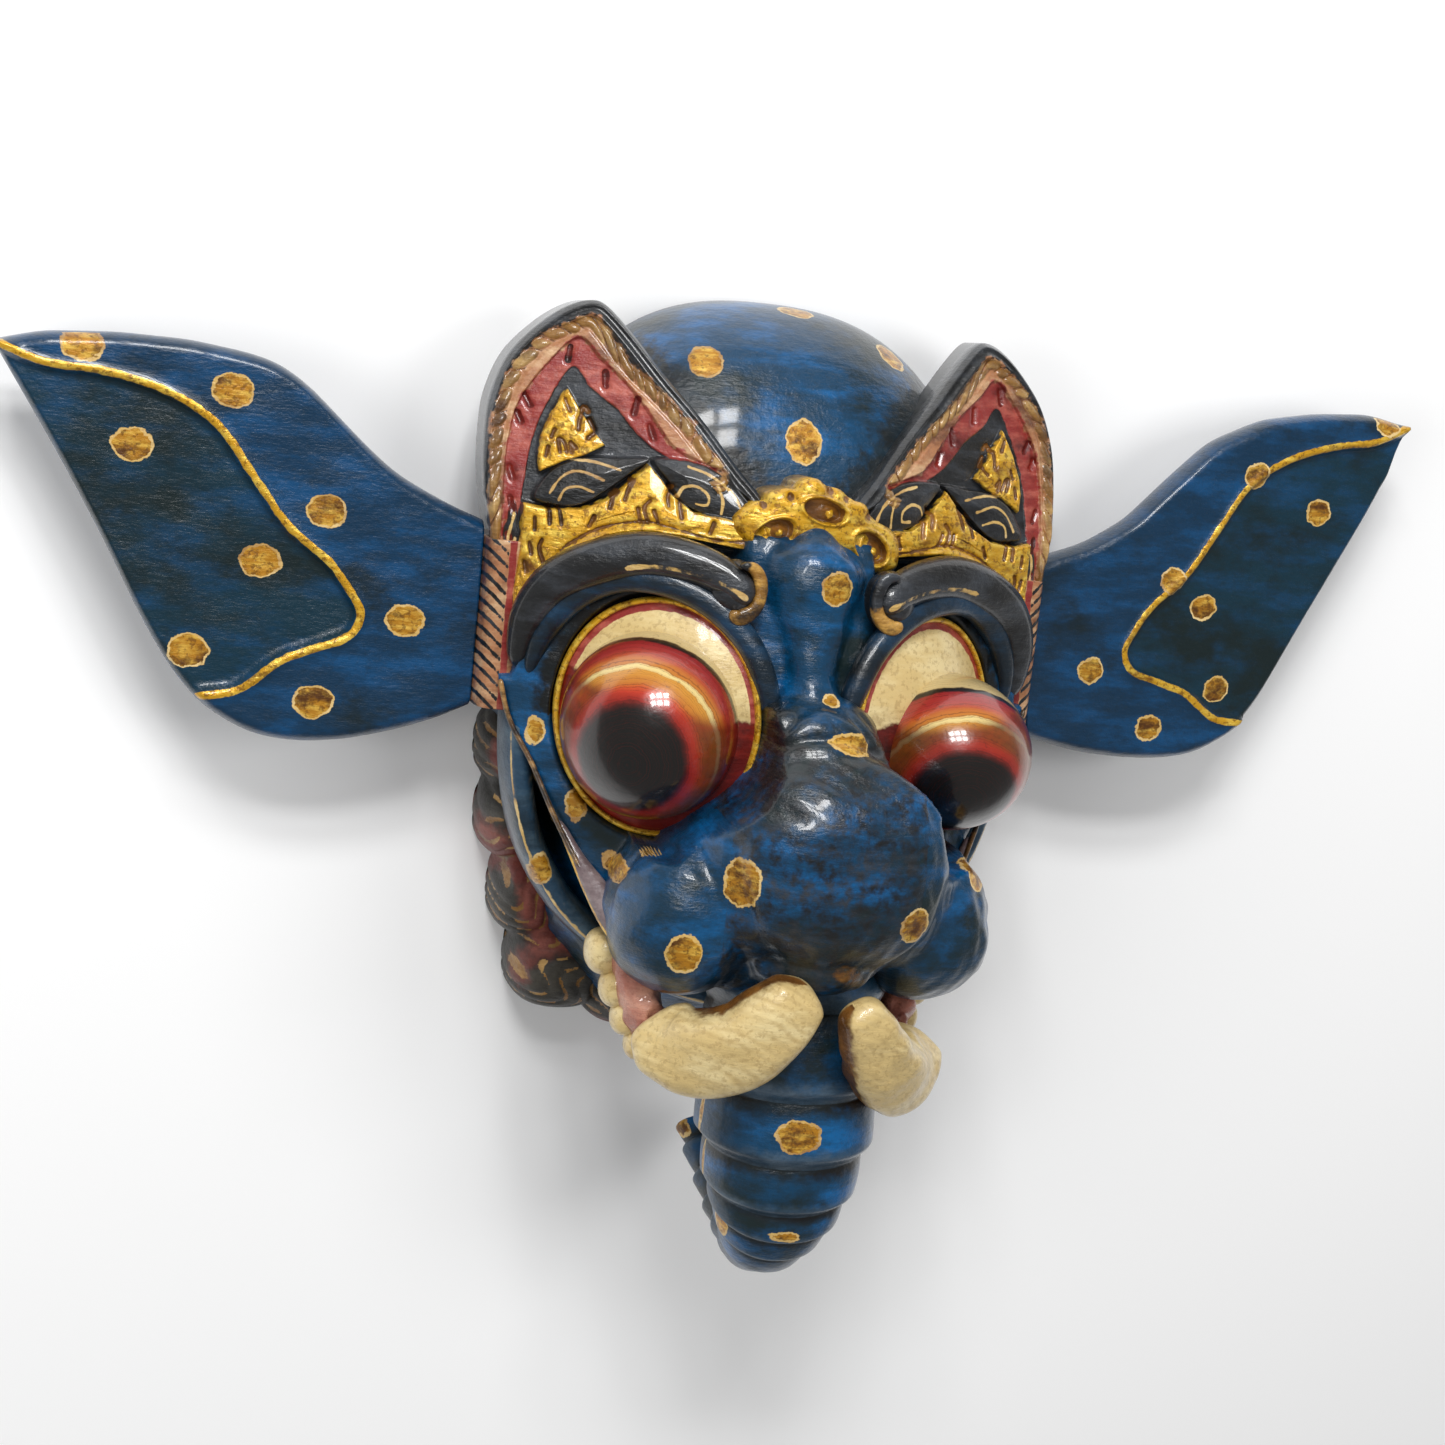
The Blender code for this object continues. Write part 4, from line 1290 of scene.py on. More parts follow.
def iris_material() -> bpy.types.Material:
    """Rings of hand-brushed colour around a black pupil, by degrees from its middle.

    Returns:
        The material.
    """
    graph = Graph("iris")
    shake = graph.math("SUBTRACT", graph.noise(45.0, 3.0, 0.6, (1.0, 1.0, 1.0), 3.0), 0.5)
    hair = graph.math("SUBTRACT", graph.noise(330.0, 4.0, 0.7, (0.4, 1.0, 1.0), 6.0), 0.5)
    angle = graph.math("ADD", graph.attribute("angle"), graph.math("MULTIPLY", shake, 7.0))
    angle = graph.math("ADD", angle, graph.math("MULTIPLY", hair, 4.0))
    ramp = graph.tree.nodes.new("ShaderNodeValToRGB")
    stops = [(0.0, (14, 15, 14)), (34, (16, 14, 12)), (37, (74, 18, 12)), (40, (146, 34, 22)),
             (44, (180, 52, 30)), (47, (188, 78, 32)), (49.5, (184, 108, 38)), (55, (196, 132, 48)),
             (58.6, (200, 140, 52)), (59.4, (222, 196, 128)), (62.2, (222, 198, 132)),
             (63.4, (188, 118, 42)), (68, (186, 104, 40)), (71, (178, 72, 38)), (75, (162, 50, 42)),
             (84, (150, 38, 40)), (85.5, (24, 22, 26)), (89, (22, 20, 22)), (90.5, (206, 182, 128))]
    ramp.color_ramp.elements.remove(ramp.color_ramp.elements[1])
    for k, (at, rgb) in enumerate(stops):
        stop = ramp.color_ramp.elements[0] if k == 0 else ramp.color_ramp.elements.new(at / 140.0)
        stop.position = at / 140.0
        stop.color = (*paint_rgb(*rgb), 1.0)
    graph.link(graph.math("DIVIDE", angle, 140.0), ramp.inputs["Fac"])
    # Painted shade: the ball's lower part, outside the pupil, turns dark red.
    lower = graph.math("MULTIPLY", graph.step(graph.attribute("under"), -1.0, 4.0),
                       graph.step(graph.attribute("angle"), 35.0, 52.0))
    specks = graph.step(graph.noise(420.0, 3.0, 0.7, (1, 1, 1), 1.0), 0.60, 0.68)
    streak = graph.tree.nodes.new("ShaderNodeTexNoise")
    streak.noise_dimensions = "1D"
    streak.inputs["Scale"].default_value = 1.1
    streak.inputs["Detail"].default_value = 5.0
    graph.link(angle, streak.inputs["W"])
    bands = graph.mix(graph.math("MULTIPLY", graph.step(streak.outputs["Fac"], 0.48, 0.72), 0.5),
                      ramp.outputs["Color"], paint_rgb(58, 14, 8))
    colour = graph.mix(graph.math("MULTIPLY", lower, 0.82), bands, graph.brushed(DARK_RED, 2.0))
    colour = graph.mix(graph.math("MULTIPLY", specks, 0.35), colour, paint_rgb(50, 18, 12))
    lumps = graph.noise(95.0, 4.0, 0.55, (1, 1, 1), 5.0)
    return graph.varnished(colour, 0.28, 0.0, lumps, (0.2, 0.002), (0.7, 0.06))


@dataclass
class Brow:
    """A black roll over one eye, the lid under it and the curl beside the bridge."""

    side: Side
    way: Tuple[Tuple[float, float, float], ...] = (
        (89, -4, 55), (87, 13, 59), (80, 26, 64), (68, 34, 71), (54, 38, 77), (40, 37, 84),
        (29, 33, 90), (22, 27, 95))
    lid_way: Tuple[Tuple[float, float, float], ...] = (
        (85, -6, 58), (82, 8, 61), (74, 21, 66), (62, 29, 73), (48, 30, 81), (34, 25, 88),
        (22, 14, 94), (15, 0, 97), (12, -14, 98))

    def build(self) -> List[bpy.types.Object]:
        """Roll, lid and curl.

        Returns:
            The four pieces.
        """
        name = self.side.name.lower()
        path = curve(mirrored(self.way, self.side), 120)
        size = along([3, 6, 7.2, 7.6, 7.6, 7, 6, 4.5], 120)
        roll = tube(path, size, size, 40, 2.2, ends=6.0)
        line = path.copy()
        line[:, 2] += size * 0.9
        line[:, 1] -= size * 0.35
        flat = roll.reshape(-1, 3)
        stretch = smoothstep(np.abs(flat[:, 0]), 66.0, 60.0)
        painted = (1.1 - distance_to(flat, line)) - 3 * (1 - stretch)
        brow = surface(f"brow_{name}", roll, (False, True), {"line": painted})
        dress(brow, Lacquer("brow_paint", BLACK, (Layer("line", LINE_CREAM, 0.25),), 0.5, 0.8))
        lid_path = curve(mirrored(self.lid_way, self.side), 120)
        lid_size = along([2, 4, 4.5, 4.5, 4.5, 4.5, 4.2, 4, 2], 120)
        lid_piece = surface(f"lid_{name}", tube(lid_path, lid_size, lid_size, 30, 2.2, ends=5.0))
        dress(lid_piece, Lacquer("lid_paint", LID))
        ribbon = curve(mirrored([(27.5, 38.5), (23, 38.0), (20.4, 34.5), (19.8, 29.5),
                                 (21.6, 24.6), (26, 22.0), (29.5, 23.6)], self.side), 90)
        fall = 0.16 * np.maximum(np.abs(ribbon[:, 0]) - 28, 0)
        ribbon = np.column_stack([ribbon, np.linspace(95.0, 95.5, 90) - fall])
        width = along([1.0, 1.9, 2.2, 2.1, 2.3, 2.6, 1.4], 90)
        grid = tube(ribbon, width, 2.0, 24, 2.8, ends=2.0)
        share = np.repeat(np.linspace(0, 1, len(grid)), 24)
        gilt_from = 0.12 if self.side is Side.LEFT else 0.55
        curl = surface(f"brow_curl_{name}", grid, (False, True),
                       {"gilt": (share - gilt_from) * 30.0})
        gilding = (Layer("gilt", CURL, 1.2, 0.8),)
        dress(curl, Lacquer("curl_paint", BLACK, gilding, bump=0.5, coat=0.8))
        hub = surface(f"brow_hub_{name}",
                      blob((self.side.value * 26.5, 30, 88), (9, 10, 8), 40, 24))
        dress(hub, Lacquer("hub_paint", BLACK))
        return [brow, lid_piece, curl, hub]


# Crown


def plate_front(x: Array, y: Array) -> Array:
    """Front of a crown side plate: it falls away to the side and towards its point."""
    return 79.0 - 0.38 * (np.abs(x) - 19) - 0.25 * np.maximum(y - 50, 0)


@dataclass(frozen=True)
class Relief:
    """One carved area of a plate: its outline, how far it stands up, and its paint."""

    name: str
    outline: Tuple[Tuple[float, float], ...]
    height: float
    paint: Paint
    crown: float = 0.0
    soft: float = 0.9
    smooth: bool = True


@dataclass
class CrownPlate:
    """A side plate of the crown with its borders, leaf, scrolls and the gold band."""

    side: Side
    outline: Tuple[Tuple[float, float], ...] = (
        (15, 57), (24, 68), (36, 83), (47, 95), (58, 108), (66, 116), (71, 117.5), (78, 115),
        (86, 109), (95, 99), (100, 88), (102.3, 76), (102.3, 56), (99, 38), (96, 20), (94, 2),
        (86, 4), (82, 16), (77, 28), (68, 36), (56, 40), (40, 41), (22, 40), (12, 44))
    middle: Tuple[float, float] = (62.0, 66.0)
    thickness: float = 19.0
    around: int = 520
    rows: int = 150
    notches: Tuple[Tuple[Tuple[float, float], ...], ...] = (
        ((74.1, 75.3), (73.8, 78.8), (72, 82.5), (70.6, 81.2)),
        ((71, 72.8), (68.8, 75.2), (70.2, 78.5)),
        ((79.5, 67.5), (80.3, 71.5), (78.7, 70.9), (77.4, 67.6)),
        ((75.9, 67.5), (76.5, 70.8), (74.9, 69.2)),
        ((82.4, 71.9), (81.5, 74.5)), ((83.9, 65.5), (83.3, 68.7)), ((77, 81), (78.4, 84.5)),
        ((82.5, 49.6), (82.1, 44.1)), ((79.5, 49.6), (78.5, 44.3)),
        ((64, 51.5), (63.1, 54.7), (61.5, 57)),
        ((59.6, 54.4), (58.4, 58), (57.1, 61)), ((54.7, 48), (55.5, 52)),
        ((52.2, 48), (53.6, 52.4), (51.8, 55)), ((46, 53.8), (46.3, 57.2), (44.6, 60.2)),
        ((42, 50.4), (42.7, 55.2)), ((83.1, 31.2), (84.7, 35.6), (84.1, 38.6)),
        ((88.1, 27.8), (88.8, 30.9)),
        ((86.9, 33.8), (87.8, 37.1)), ((48.9, 48), (50.6, 51.8)), ((70, 44.8), (68.8, 48)),
        ((33, 46.6), (32, 50)), ((86.6, 41.6), (86.8, 45.4)))
    red_ovals: Tuple[Tuple[Tuple[float, float], ...], ...] = (
        ((92.9, 78.7), (91.6, 75.8)), ((90.6, 84.6), (88.9, 81.4)), ((77.6, 97.4), (77, 101.6)),
        ((94.6, 61), (93.4, 57.5)), ((94, 51), (93, 47)), ((56.6, 82), (55.6, 87)),
        ((50.2, 74.6), (51.4, 78.6)),
        ((65.6, 90), (65.8, 94.4)), ((94, 39), (93, 35)))

    def reliefs(self) -> List[Relief]:
        """Areas from the lowest up; later ones cover earlier ones.

        Returns:
            The areas in order.
        """
        return [
            Relief("tan", ((69.6, 112), (58.3, 98.7), (48, 89.4), (37.7, 79), (27.2, 64.5),
                           (34, 58), (60, 50), (92, 34), (93, 4), (96.5, 16), (99, 30), (100.6, 44),
                           (101.4, 58), (101.2, 70), (99.9, 81), (97.2, 90.3), (93, 97),
                           (86.5, 104.5), (78.5, 109.5)), -0.6, TAN),
            Relief("red", ((75.1, 105), (67.8, 99), (58.1, 90.3), (50, 80), (44, 72.5),
                           (35.3, 68.7), (29, 65.5), (50, 55), (88, 34), (92, 8), (94.8, 19),
                           (95.6, 30), (96.4, 47), (96.3, 62), (95.2, 72.3), (92.6, 82.6),
                           (85.2, 94.4)),
                   -2.2, RED),
            Relief("field", ((76.4, 95.3), (70.1, 89), (61.9, 83), (55, 75.5), (47, 69.8),
                             (28, 63), (12, 50), (18, 40), (60, 38), (80, 20), (88, 0), (92, 12),
                             (92.6, 30), (91.5, 44), (89.8, 58), (88.3, 68.8), (84.7, 80.4)),
                   -3.0, BLACK),
            Relief("side_leaf", ((92.6, 50), (95.2, 42), (95.4, 30), (93.8, 16), (91.5, 9),
                                 (90.6, 20), (90.6, 36)), -1.0, BLACK, 0.8),
            Relief("leaf", ((77.8, 88.3), (73.9, 82), (69.6, 75.9), (65.5, 71.0), (71.4, 67.2),
                            (78, 64.6), (85.6, 60.3), (86.4, 66.5), (85.6, 72), (82.5, 80)),
                   0.4, GOLD, 0.8, smooth=False),
            Relief("lens", ((87, 51.5), (84.6, 58), (79.7, 63.2), (71.1, 66.6), (61.1, 67.4),
                            (51.8, 68.0), (57.6, 62.6), (64.1, 57), (71.9, 51.4), (79, 50)),
                   0.2, BLACK, 1.6),
            Relief("scroll", ((50.5, 68), (41.1, 68.8), (33.1, 67.2), (27, 63.5), (20, 56),
                              (21, 51.5), (32, 51.8), (40.7, 54.6), (45.6, 61)), 0.2, BLACK, 1.6),
            Relief("band", ((90.5, 50), (82.2, 48.9), (72.3, 50.2), (64.5, 54.2), (58.6, 59.8),
                            (52.2, 66.4), (48, 61.8), (44.6, 57.2), (37.8, 52.6), (24.5, 51.4),
                            (14, 51), (14, 42), (24.5, 42.4), (37.2, 43.8), (50.6, 44.4),
                            (62.4, 42.2), (69.9, 37.2), (76, 29.6), (80.4, 20), (83, 8), (86, 0),
                            (90, 6), (91.5, 20), (90.6, 34)), 2.6, GOLD, 0.9, smooth=False),
        ]

    def build(self) -> List[bpy.types.Object]:
        """A polar grid over the outline; each ring is middle + v (outline - middle).

        Returns:
            The plate.
        """
        edge = curve(mirrored(self.outline, self.side), self.around, closed=True)
        mid = np.array([self.side.value * self.middle[0], self.middle[1]])
        v = np.linspace(0, 1, self.rows) ** 0.8
        xy = mid + v[:, None, None] * (edge[None] - mid)
        flat = xy.reshape(-1, 2)
        border = signed(flat, edge)
        height = -2.6 * np.exp(-np.clip(border, 0, None) / 1.1)
        fields: Dict[str, Array] = {}
        layers: List[Layer] = []
        for relief in self.reliefs():
            pts = mirrored(relief.outline, self.side)
            shape = curve(pts, len(pts) * (6 if relief.smooth else 1), closed=True)
            gap = signed(flat, shape)
            level = relief.height + relief.crown * np.clip(gap / 5.0, 0, 1)
            mask = smoothstep(gap, -relief.soft / 2, relief.soft / 2)
            height = height * (1 - mask) + level * mask
            fields[relief.name] = gap
            ragged = 1.7 if relief.name in ("red", "tan") else 0.35
            layers.append(Layer(relief.name, relief.paint, ragged, 0.4 * ragged))
        length = np.linalg.norm(np.diff(edge, axis=0, append=edge[:1]), axis=1)
        run = np.broadcast_to(np.cumsum(length), xy.shape[:2]).ravel()
        height = height + self.carving(flat, fields, border, run)
        layers += [Layer("leaf_body", LEAF, 1.0, 0.5), Layer("leaf_gap", BROWN, 0.4),
                   Layer("oval", DARK_RED, 0.4),
                   Layer("bead_line", BROWN, 0.6), Layer("cut", BROWN, 0.3)]
        fields.update(self.lines(flat))
        layers.append(Layer("lines", LINE_CREAM, 0.25))
        z = plate_front(flat[:, 0], flat[:, 1]) + height
        front = np.concatenate([xy, z.reshape(*xy.shape[:2], 1)], axis=-1)
        back = front[::-12].copy()
        back[..., 2] = plate_front(back[..., 0], back[..., 1]) - self.thickness
        grid = np.concatenate([front, back])
        unpainted = np.full((len(back), self.around), -5.0)
        full = {name: np.concatenate([values.reshape(self.rows, -1), unpainted])
                for name, values in fields.items()}
        plate = surface(f"crown_plate_{self.side.name.lower()}", grid, (False, True), full)
        return [dress(plate, Lacquer("plate_paint", BLACK, tuple(layers), bump=0.5, coat=0.7))]

    def carving(self, flat: Array, fields: Dict[str, Array], border: Array, run: Array) -> Array:
        """Rim beads, scale leaves in the tan border, a beaded lower edge and cut notches.

        Args:
            flat: Points of the front in plan.
            fields: Distances inside each relief; the cut notches and leaf lines are added.
            border: Distance from the plate's edge.
            run: Distance along the plate's edge.

        Returns:
            The height to add at each point.
        """
        leaf_length, leaf_depth = 7.6, 2.1
        out = 0.9 * np.exp(-((border - 1.4) / 0.8) ** 2)
        out += 1.1 * np.exp(-((border - 4.6) / 1.0) ** 2) * (fields["tan"] < 0.3)
        tan = fields["tan"]
        uneven = 0.22 * np.sin(run * 0.13) + 0.1 * np.sin(run * 0.41)
        cell = (run / leaf_length + 0.16 * tan + uneven) % 1.0
        leaf = np.hypot((cell - 0.5) * leaf_length / 3.9, (tan - 2.0) / leaf_depth)
        zone = (tan > -0.4) & (fields["red"] < 0.2) & (flat[:, 1] > 22.0) & (border < 11.0)
        bed = smoothstep(tan, 5.4, 4.2)
        out += np.where(zone, 1.3 * np.clip(1 - leaf ** 2, 0, 1) ** 0.7 - 0.5 * bed, 0.0)
        fields["leaf_body"] = np.where(zone, 2.4 * (1 - leaf), -3.0)
        parting = 0.5 - leaf_length * np.minimum(cell, 1 - cell)
        notch = np.where((tan > 0.2) & (tan < 4.0), parting, -3.0)
        fields["leaf_gap"] = np.where(zone, notch, -3.0)
        lower = curve(mirrored([(14, 43.4), (27.7, 42.6), (36.6, 43.4), (46.1, 45.2), (52.9, 46.2),
                                (63.3, 43.8), (70.5, 40), (76.8, 34.2), (81.5, 25), (84, 13)],
                               self.side), 80)
        near = distance_to(flat, lower)
        on_band = fields["band"] > 0
        out += np.where(on_band, 0.9 * np.exp(-(near / 1.0) ** 2)
                        - 0.7 * np.exp(-((near - 2.0) / 0.6) ** 2), 0)
        cuts = nearest(flat, [curve(mirrored(way, self.side), 10) for way in self.notches])
        out -= 1.5 * np.exp(-(cuts / 0.8) ** 2)
        fields["cut"] = 0.75 - cuts
        fields["bead_line"] = np.where(on_band, 0.5 - np.abs(near - 2.0), -3.0)
        ovals = nearest(flat, [mirrored(way, self.side) for way in self.red_ovals])
        out -= 1.2 * np.exp(-(ovals / 1.2) ** 2)
        fields["oval"] = 1.1 - ovals
        return out

    def lines(self, flat: Array) -> Dict[str, Array]:
        """Thin cream lines painted on the scrolls.

        Args:
            flat: Points of the front in plan.

        Returns:
            The field by name.
        """
        ways = [[(76, 65.4), (69, 65.4), (61, 63.6)],
                [(82.5, 54), (79, 59.5), (73.5, 62), (66, 59.8)],
                [(79.5, 52), (78, 55.6), (74, 57), (69, 55.6)],
                [(40, 67), (33, 64.8), (26.5, 60), (23, 54)],
                [(43, 57), (41.5, 60.2), (37.5, 61), (34, 58.6), (34, 55.4), (37.4, 55.4)],
                [(31, 62), (29.5, 57.5), (29.5, 53)], [(92.6, 46), (93.8, 38), (93.4, 28)],
                [(91.8, 38), (92.4, 30), (91.8, 20)]]
        near = nearest(flat, [curve(mirrored(way, self.side), 16) for way in ways])
        return {"lines": 0.42 - near}


@dataclass
class Crest:
    """The pierced gold cloud in the middle of the crown."""

    outline: Tuple[Tuple[float, float], ...] = (
        (-25.6, 48.7), (-25.8, 53), (-21.4, 57.8), (-17.3, 58.8), (-15.8, 61.7), (-11.5, 63.4),
        (-8.0, 63.6), (-6.0, 66.4), (-1.4, 67.6), (2.8, 65.4), (7.0, 64.8), (12.3, 61.7),
        (17.0, 60.4), (21.0, 55.8), (27.6, 52.9), (31.6, 49), (32.3, 41), (28.7, 38.4),
        (21.5, 38.4), (16.4, 41.3), (11.2, 44.2), (3.1, 44.6), (-4.6, 43.2), (-9.0, 40.6),
        (-15.4, 41.8), (-21.9, 44.8))
    middle: Tuple[float, float] = (2.0, 52.5)
    hollows: Tuple[Tuple[float, ...], ...] = (
        (-14, 49, 7.0, 4.2, 0.5), (2.0, 57.5, 7.5, 3.8, -0.2), (20.0, 46.5, 7.0, 4.6, -0.6))
    notches: Tuple[Tuple[float, float], ...] = (
        (-17.8, 57.6), (-9.6, 61.2), (3.6, 64.0), (9.8, 61.8), (18.6, 56.6))
    base: float = 66.0
    top: float = 87.0
    around: int = 360
    rows: int = 90

    def build(self) -> List[bpy.types.Object]:
        """A polar grid raised to a soft edge, with three swirled hollows and rim notches.

        Returns:
            The crest.
        """
        edge = curve(self.outline, self.around, closed=True)
        mid = np.array(self.middle)
        v = np.linspace(0, 1, self.rows) ** 0.85
        xy = mid + v[:, None, None] * (edge[None] - mid)
        flat = xy.reshape(-1, 2)
        gap = signed(flat, edge)
        height = self.top - 0.006 * flat[:, 0] ** 2 - 3.2 * np.exp(-np.clip(gap, 0, None) / 1.3)
        dark = np.full(len(flat), NOWHERE)
        for cx, cy, rx, ry, tilt in self.hollows:
            dx, dy = flat[:, 0] - cx, flat[:, 1] - cy
            a = dx * math.cos(tilt) + dy * math.sin(tilt)
            b = -dx * math.sin(tilt) + dy * math.cos(tilt)
            r = np.hypot(a / rx, b / ry)
            cup = 1 - smoothstep(r, 0.8, 1.05)
            pearl = np.exp(-(np.hypot(a - 0.22 * rx, b + 0.1 * ry) / (0.30 * rx)) ** 2)
            rim = np.exp(-((r - 1.12) / 0.13) ** 2)
            height += 0.8 * rim - 3.0 * cup + 3.2 * pearl * cup
            dark = np.maximum(dark, 1.6 * cup - 1.5 * pearl - 0.5)
        for nx, ny in self.notches:
            near = np.hypot(flat[:, 0] - nx, flat[:, 1] - ny)
            height -= 2.4 * np.exp(-(near / 1.5) ** 2)
            dark = np.maximum(dark, 1.3 - near)
        front = np.concatenate([xy, height.reshape(self.rows, self.around, 1)], axis=-1)
        back = front[::-12].copy()
        back[..., 2] = self.base
        grid = np.concatenate([front, back])
        unpainted = np.full((len(back), self.around), -5.0)
        fields = {"dark": np.concatenate([dark.reshape(self.rows, -1), unpainted])}
        crest = surface("crest", grid, (False, True), fields)
        return [dress(crest, Lacquer("crest_gold", GOLD, (Layer("dark", BROWN, 0.5),), bump=0.4))]


@dataclass
class Temple:
    """The block that an ear plugs into, faced with black stripes on tan."""

    side: Side
    x: float = 100.0
    y: float = 9.0
    half: float = 28.0
    depth: float = 26.0
    top: float = 52.0
    foot: float = 12.0
    stripe: float = 4.4

    def build(self) -> List[bpy.types.Object]:
        """A rounded bar: rows along Y of a softened rectangle in XZ.

        Returns:
            The block.
        """
        rows = np.linspace(self.y - self.half, self.y + self.half, 120)
        c, s = ring_shape(60, 5.0)
        shape = (len(rows), len(c))
        x = self.side.value * (self.x - self.depth / 2 + self.depth / 2 * c)
        z = (self.top + self.foot) / 2 + 1.0 + (self.top - self.foot) / 2 * s
        grid = capped(np.stack([np.broadcast_to(x, shape), np.broadcast_to(rows[:, None], shape),
                                np.broadcast_to(z, shape)], axis=-1))
        flat = grid.reshape(-1, 3)
        out = np.abs(flat[:, 0])
        slope = flat[:, 1] - 0.9 * (out - 94.0)
        stripe = 0.8 - np.abs(slope % self.stripe - self.stripe / 2)
        fields = {"stripe": np.where(out > 93.0, stripe, -3.0), "edge": 1.2 - np.abs(out - 92.4)}
        block = surface(f"temple_{self.side.name.lower()}", grid, (False, True), fields)
        layers = (Layer("stripe", BLACK, 0.4), Layer("edge", RED, 0.3))
        return [dress(block, Lacquer("temple_paint", TAN, layers, bump=0.3))]


# Mouth


@dataclass
class Mouth:
    """Lips, gums, teeth, the jaw band and the lobed beard."""

    jaw_way: Tuple[Tuple[float, float, float], ...] = (
        (86, -16, 46), (84, -40, 45), (78, -63, 44), (66, -83, 44), (49, -98, 44), (32, -108, 44),
        (16, -114, 44), (0, -116, 44))
    lobes: Tuple[Tuple[float, float, float, float], ...] = (
        (78, -38, 13, 15), (76, -63, 13, 16), (69, -90, 13, 17), (55, -115, 19, 19),
        (30, -126, 16, 13), (8, -130, 14, 12))
    strand: float = 4.4

    def jaw(self) -> List[bpy.types.Object]:
        """A blue band around the jaw with a thin cream line near its front edge.

        Returns:
            The band.
        """
        left = mirrored(self.jaw_way, Side.LEFT)
        whole = np.concatenate([left, mirrored(self.jaw_way[:-1], Side.RIGHT)[::-1]])
        path = curve(whole, 260)
        grid = tube(path, np.full(260, 5.0), np.full(260, 14.0), 40, 2.6, ends=8.0)
        flat = grid.reshape(-1, 3)
        middle = framed(path)[:, None]
        outward = np.linalg.norm(grid[..., :2], axis=-1) - np.linalg.norm(middle[..., :2], axis=-1)
        edge = np.where(outward.ravel() > 0, 0.45 - np.abs(flat[:, 2] - 57.0), -3.0)
        dots = [Dot(-75, -72, 57, 4.0, 6.0)]
        band = surface("jaw_band", grid, (False, True), {"edge": edge, **dot_fields(flat, dots)})
        layers = (Layer("edge", LINE_CREAM, 0.25),) + DOT_LAYERS
        return [dress(band, Lacquer("jaw_paint", JAW, layers))]

    def lips(self) -> List[bpy.types.Object]:
        """Mauve lips along the mouth line, edged with gold.

        Returns:
            Both lips and both seams.
        """
        out = []
        way = [(73, -52, 70), (67, -63, 76), (62, -71, 83), (56, -80, 92), (49, -89, 101),
               (41, -96, 107)]
        size = along([1.2, 2.4, 4.0, 5.2, 4.6, 3.0], 120)
        seam_way = [(94, -8, 57), (90, -21, 58), (82, -35, 63), (75, -50, 70), (68, -63, 77),
                    (60, -77, 87)]
        for side in Side:
            path = curve(mirrored(way, side), 120)
            grid = tube(path, size, size * 0.8, 30, 2.2, ends=4.0)
            flat = grid.reshape(-1, 3)
            line = path + np.stack([side.value * size * 0.75, -size * 0.55, size * 0.35], axis=1)
            lip = surface(f"lip_{side.name.lower()}", grid, (False, True),
                          {"line": 0.8 - distance_to(flat, line)})
            out.append(dress(lip, Lacquer("lip_paint", MAUVE, (Layer("line", GOLD, 0.3),))))
            seam = surface(f"mouth_seam_{side.name.lower()}",
                           tube(curve(mirrored(seam_way, side), 90), 0.9, 1.3, 16, ends=2.0))
            out.append(dress(seam, Lacquer("seam_paint", SEAM, bump=0.3)))
        return out

    def gums(self) -> List[bpy.types.Object]:
        """Pink gums beside each tusk with cream back teeth.

        Returns:
            Gums and teeth.
        """
        out = []
        way = [(52, -86, 90), (50, -94, 93), (47, -103, 96), (44, -112, 98), (42, -120, 98)]
        teeth = [((57, -92, 84), 6.6), ((53.5, -103, 89), 5.4), ((50, -112, 92), 5.0),
                 ((46, -120, 95), 4.4)]
        for side in Side:
            path = curve(mirrored(way, side), 60)
            if side is Side.RIGHT:
                path = path + np.array([-2.0, -4.0, -9.0])
            grid = tube(path, along([4.5, 6.5, 7, 6.5, 4], 60), along([6, 8, 9, 9, 6], 60), 36,
                        ends=5.0)
            flat = grid.reshape(-1, 3)
            grid = (flat + 0.9 * wobble(flat, 9.0, 6.0)[:, None]).reshape(grid.shape)
            gum = surface(f"gum_{side.name.lower()}", grid)
            out.append(dress(gum, Lacquer("gum_paint", PINK, bump=0.6)))
            for k, (at, r) in enumerate(teeth):
                spot = (side.value * at[0], at[1], at[2] - (8.0 if side is Side.RIGHT else 0.0))
                grid = blob(spot, (r, r * 1.15, r * 1.4), 40, 26, 2.3)
                tooth = surface(f"tooth_{side.name.lower()}_{k + 1}", grid)
                out.append(dress(tooth, Lacquer("tooth_paint", CREAM)))
        return out

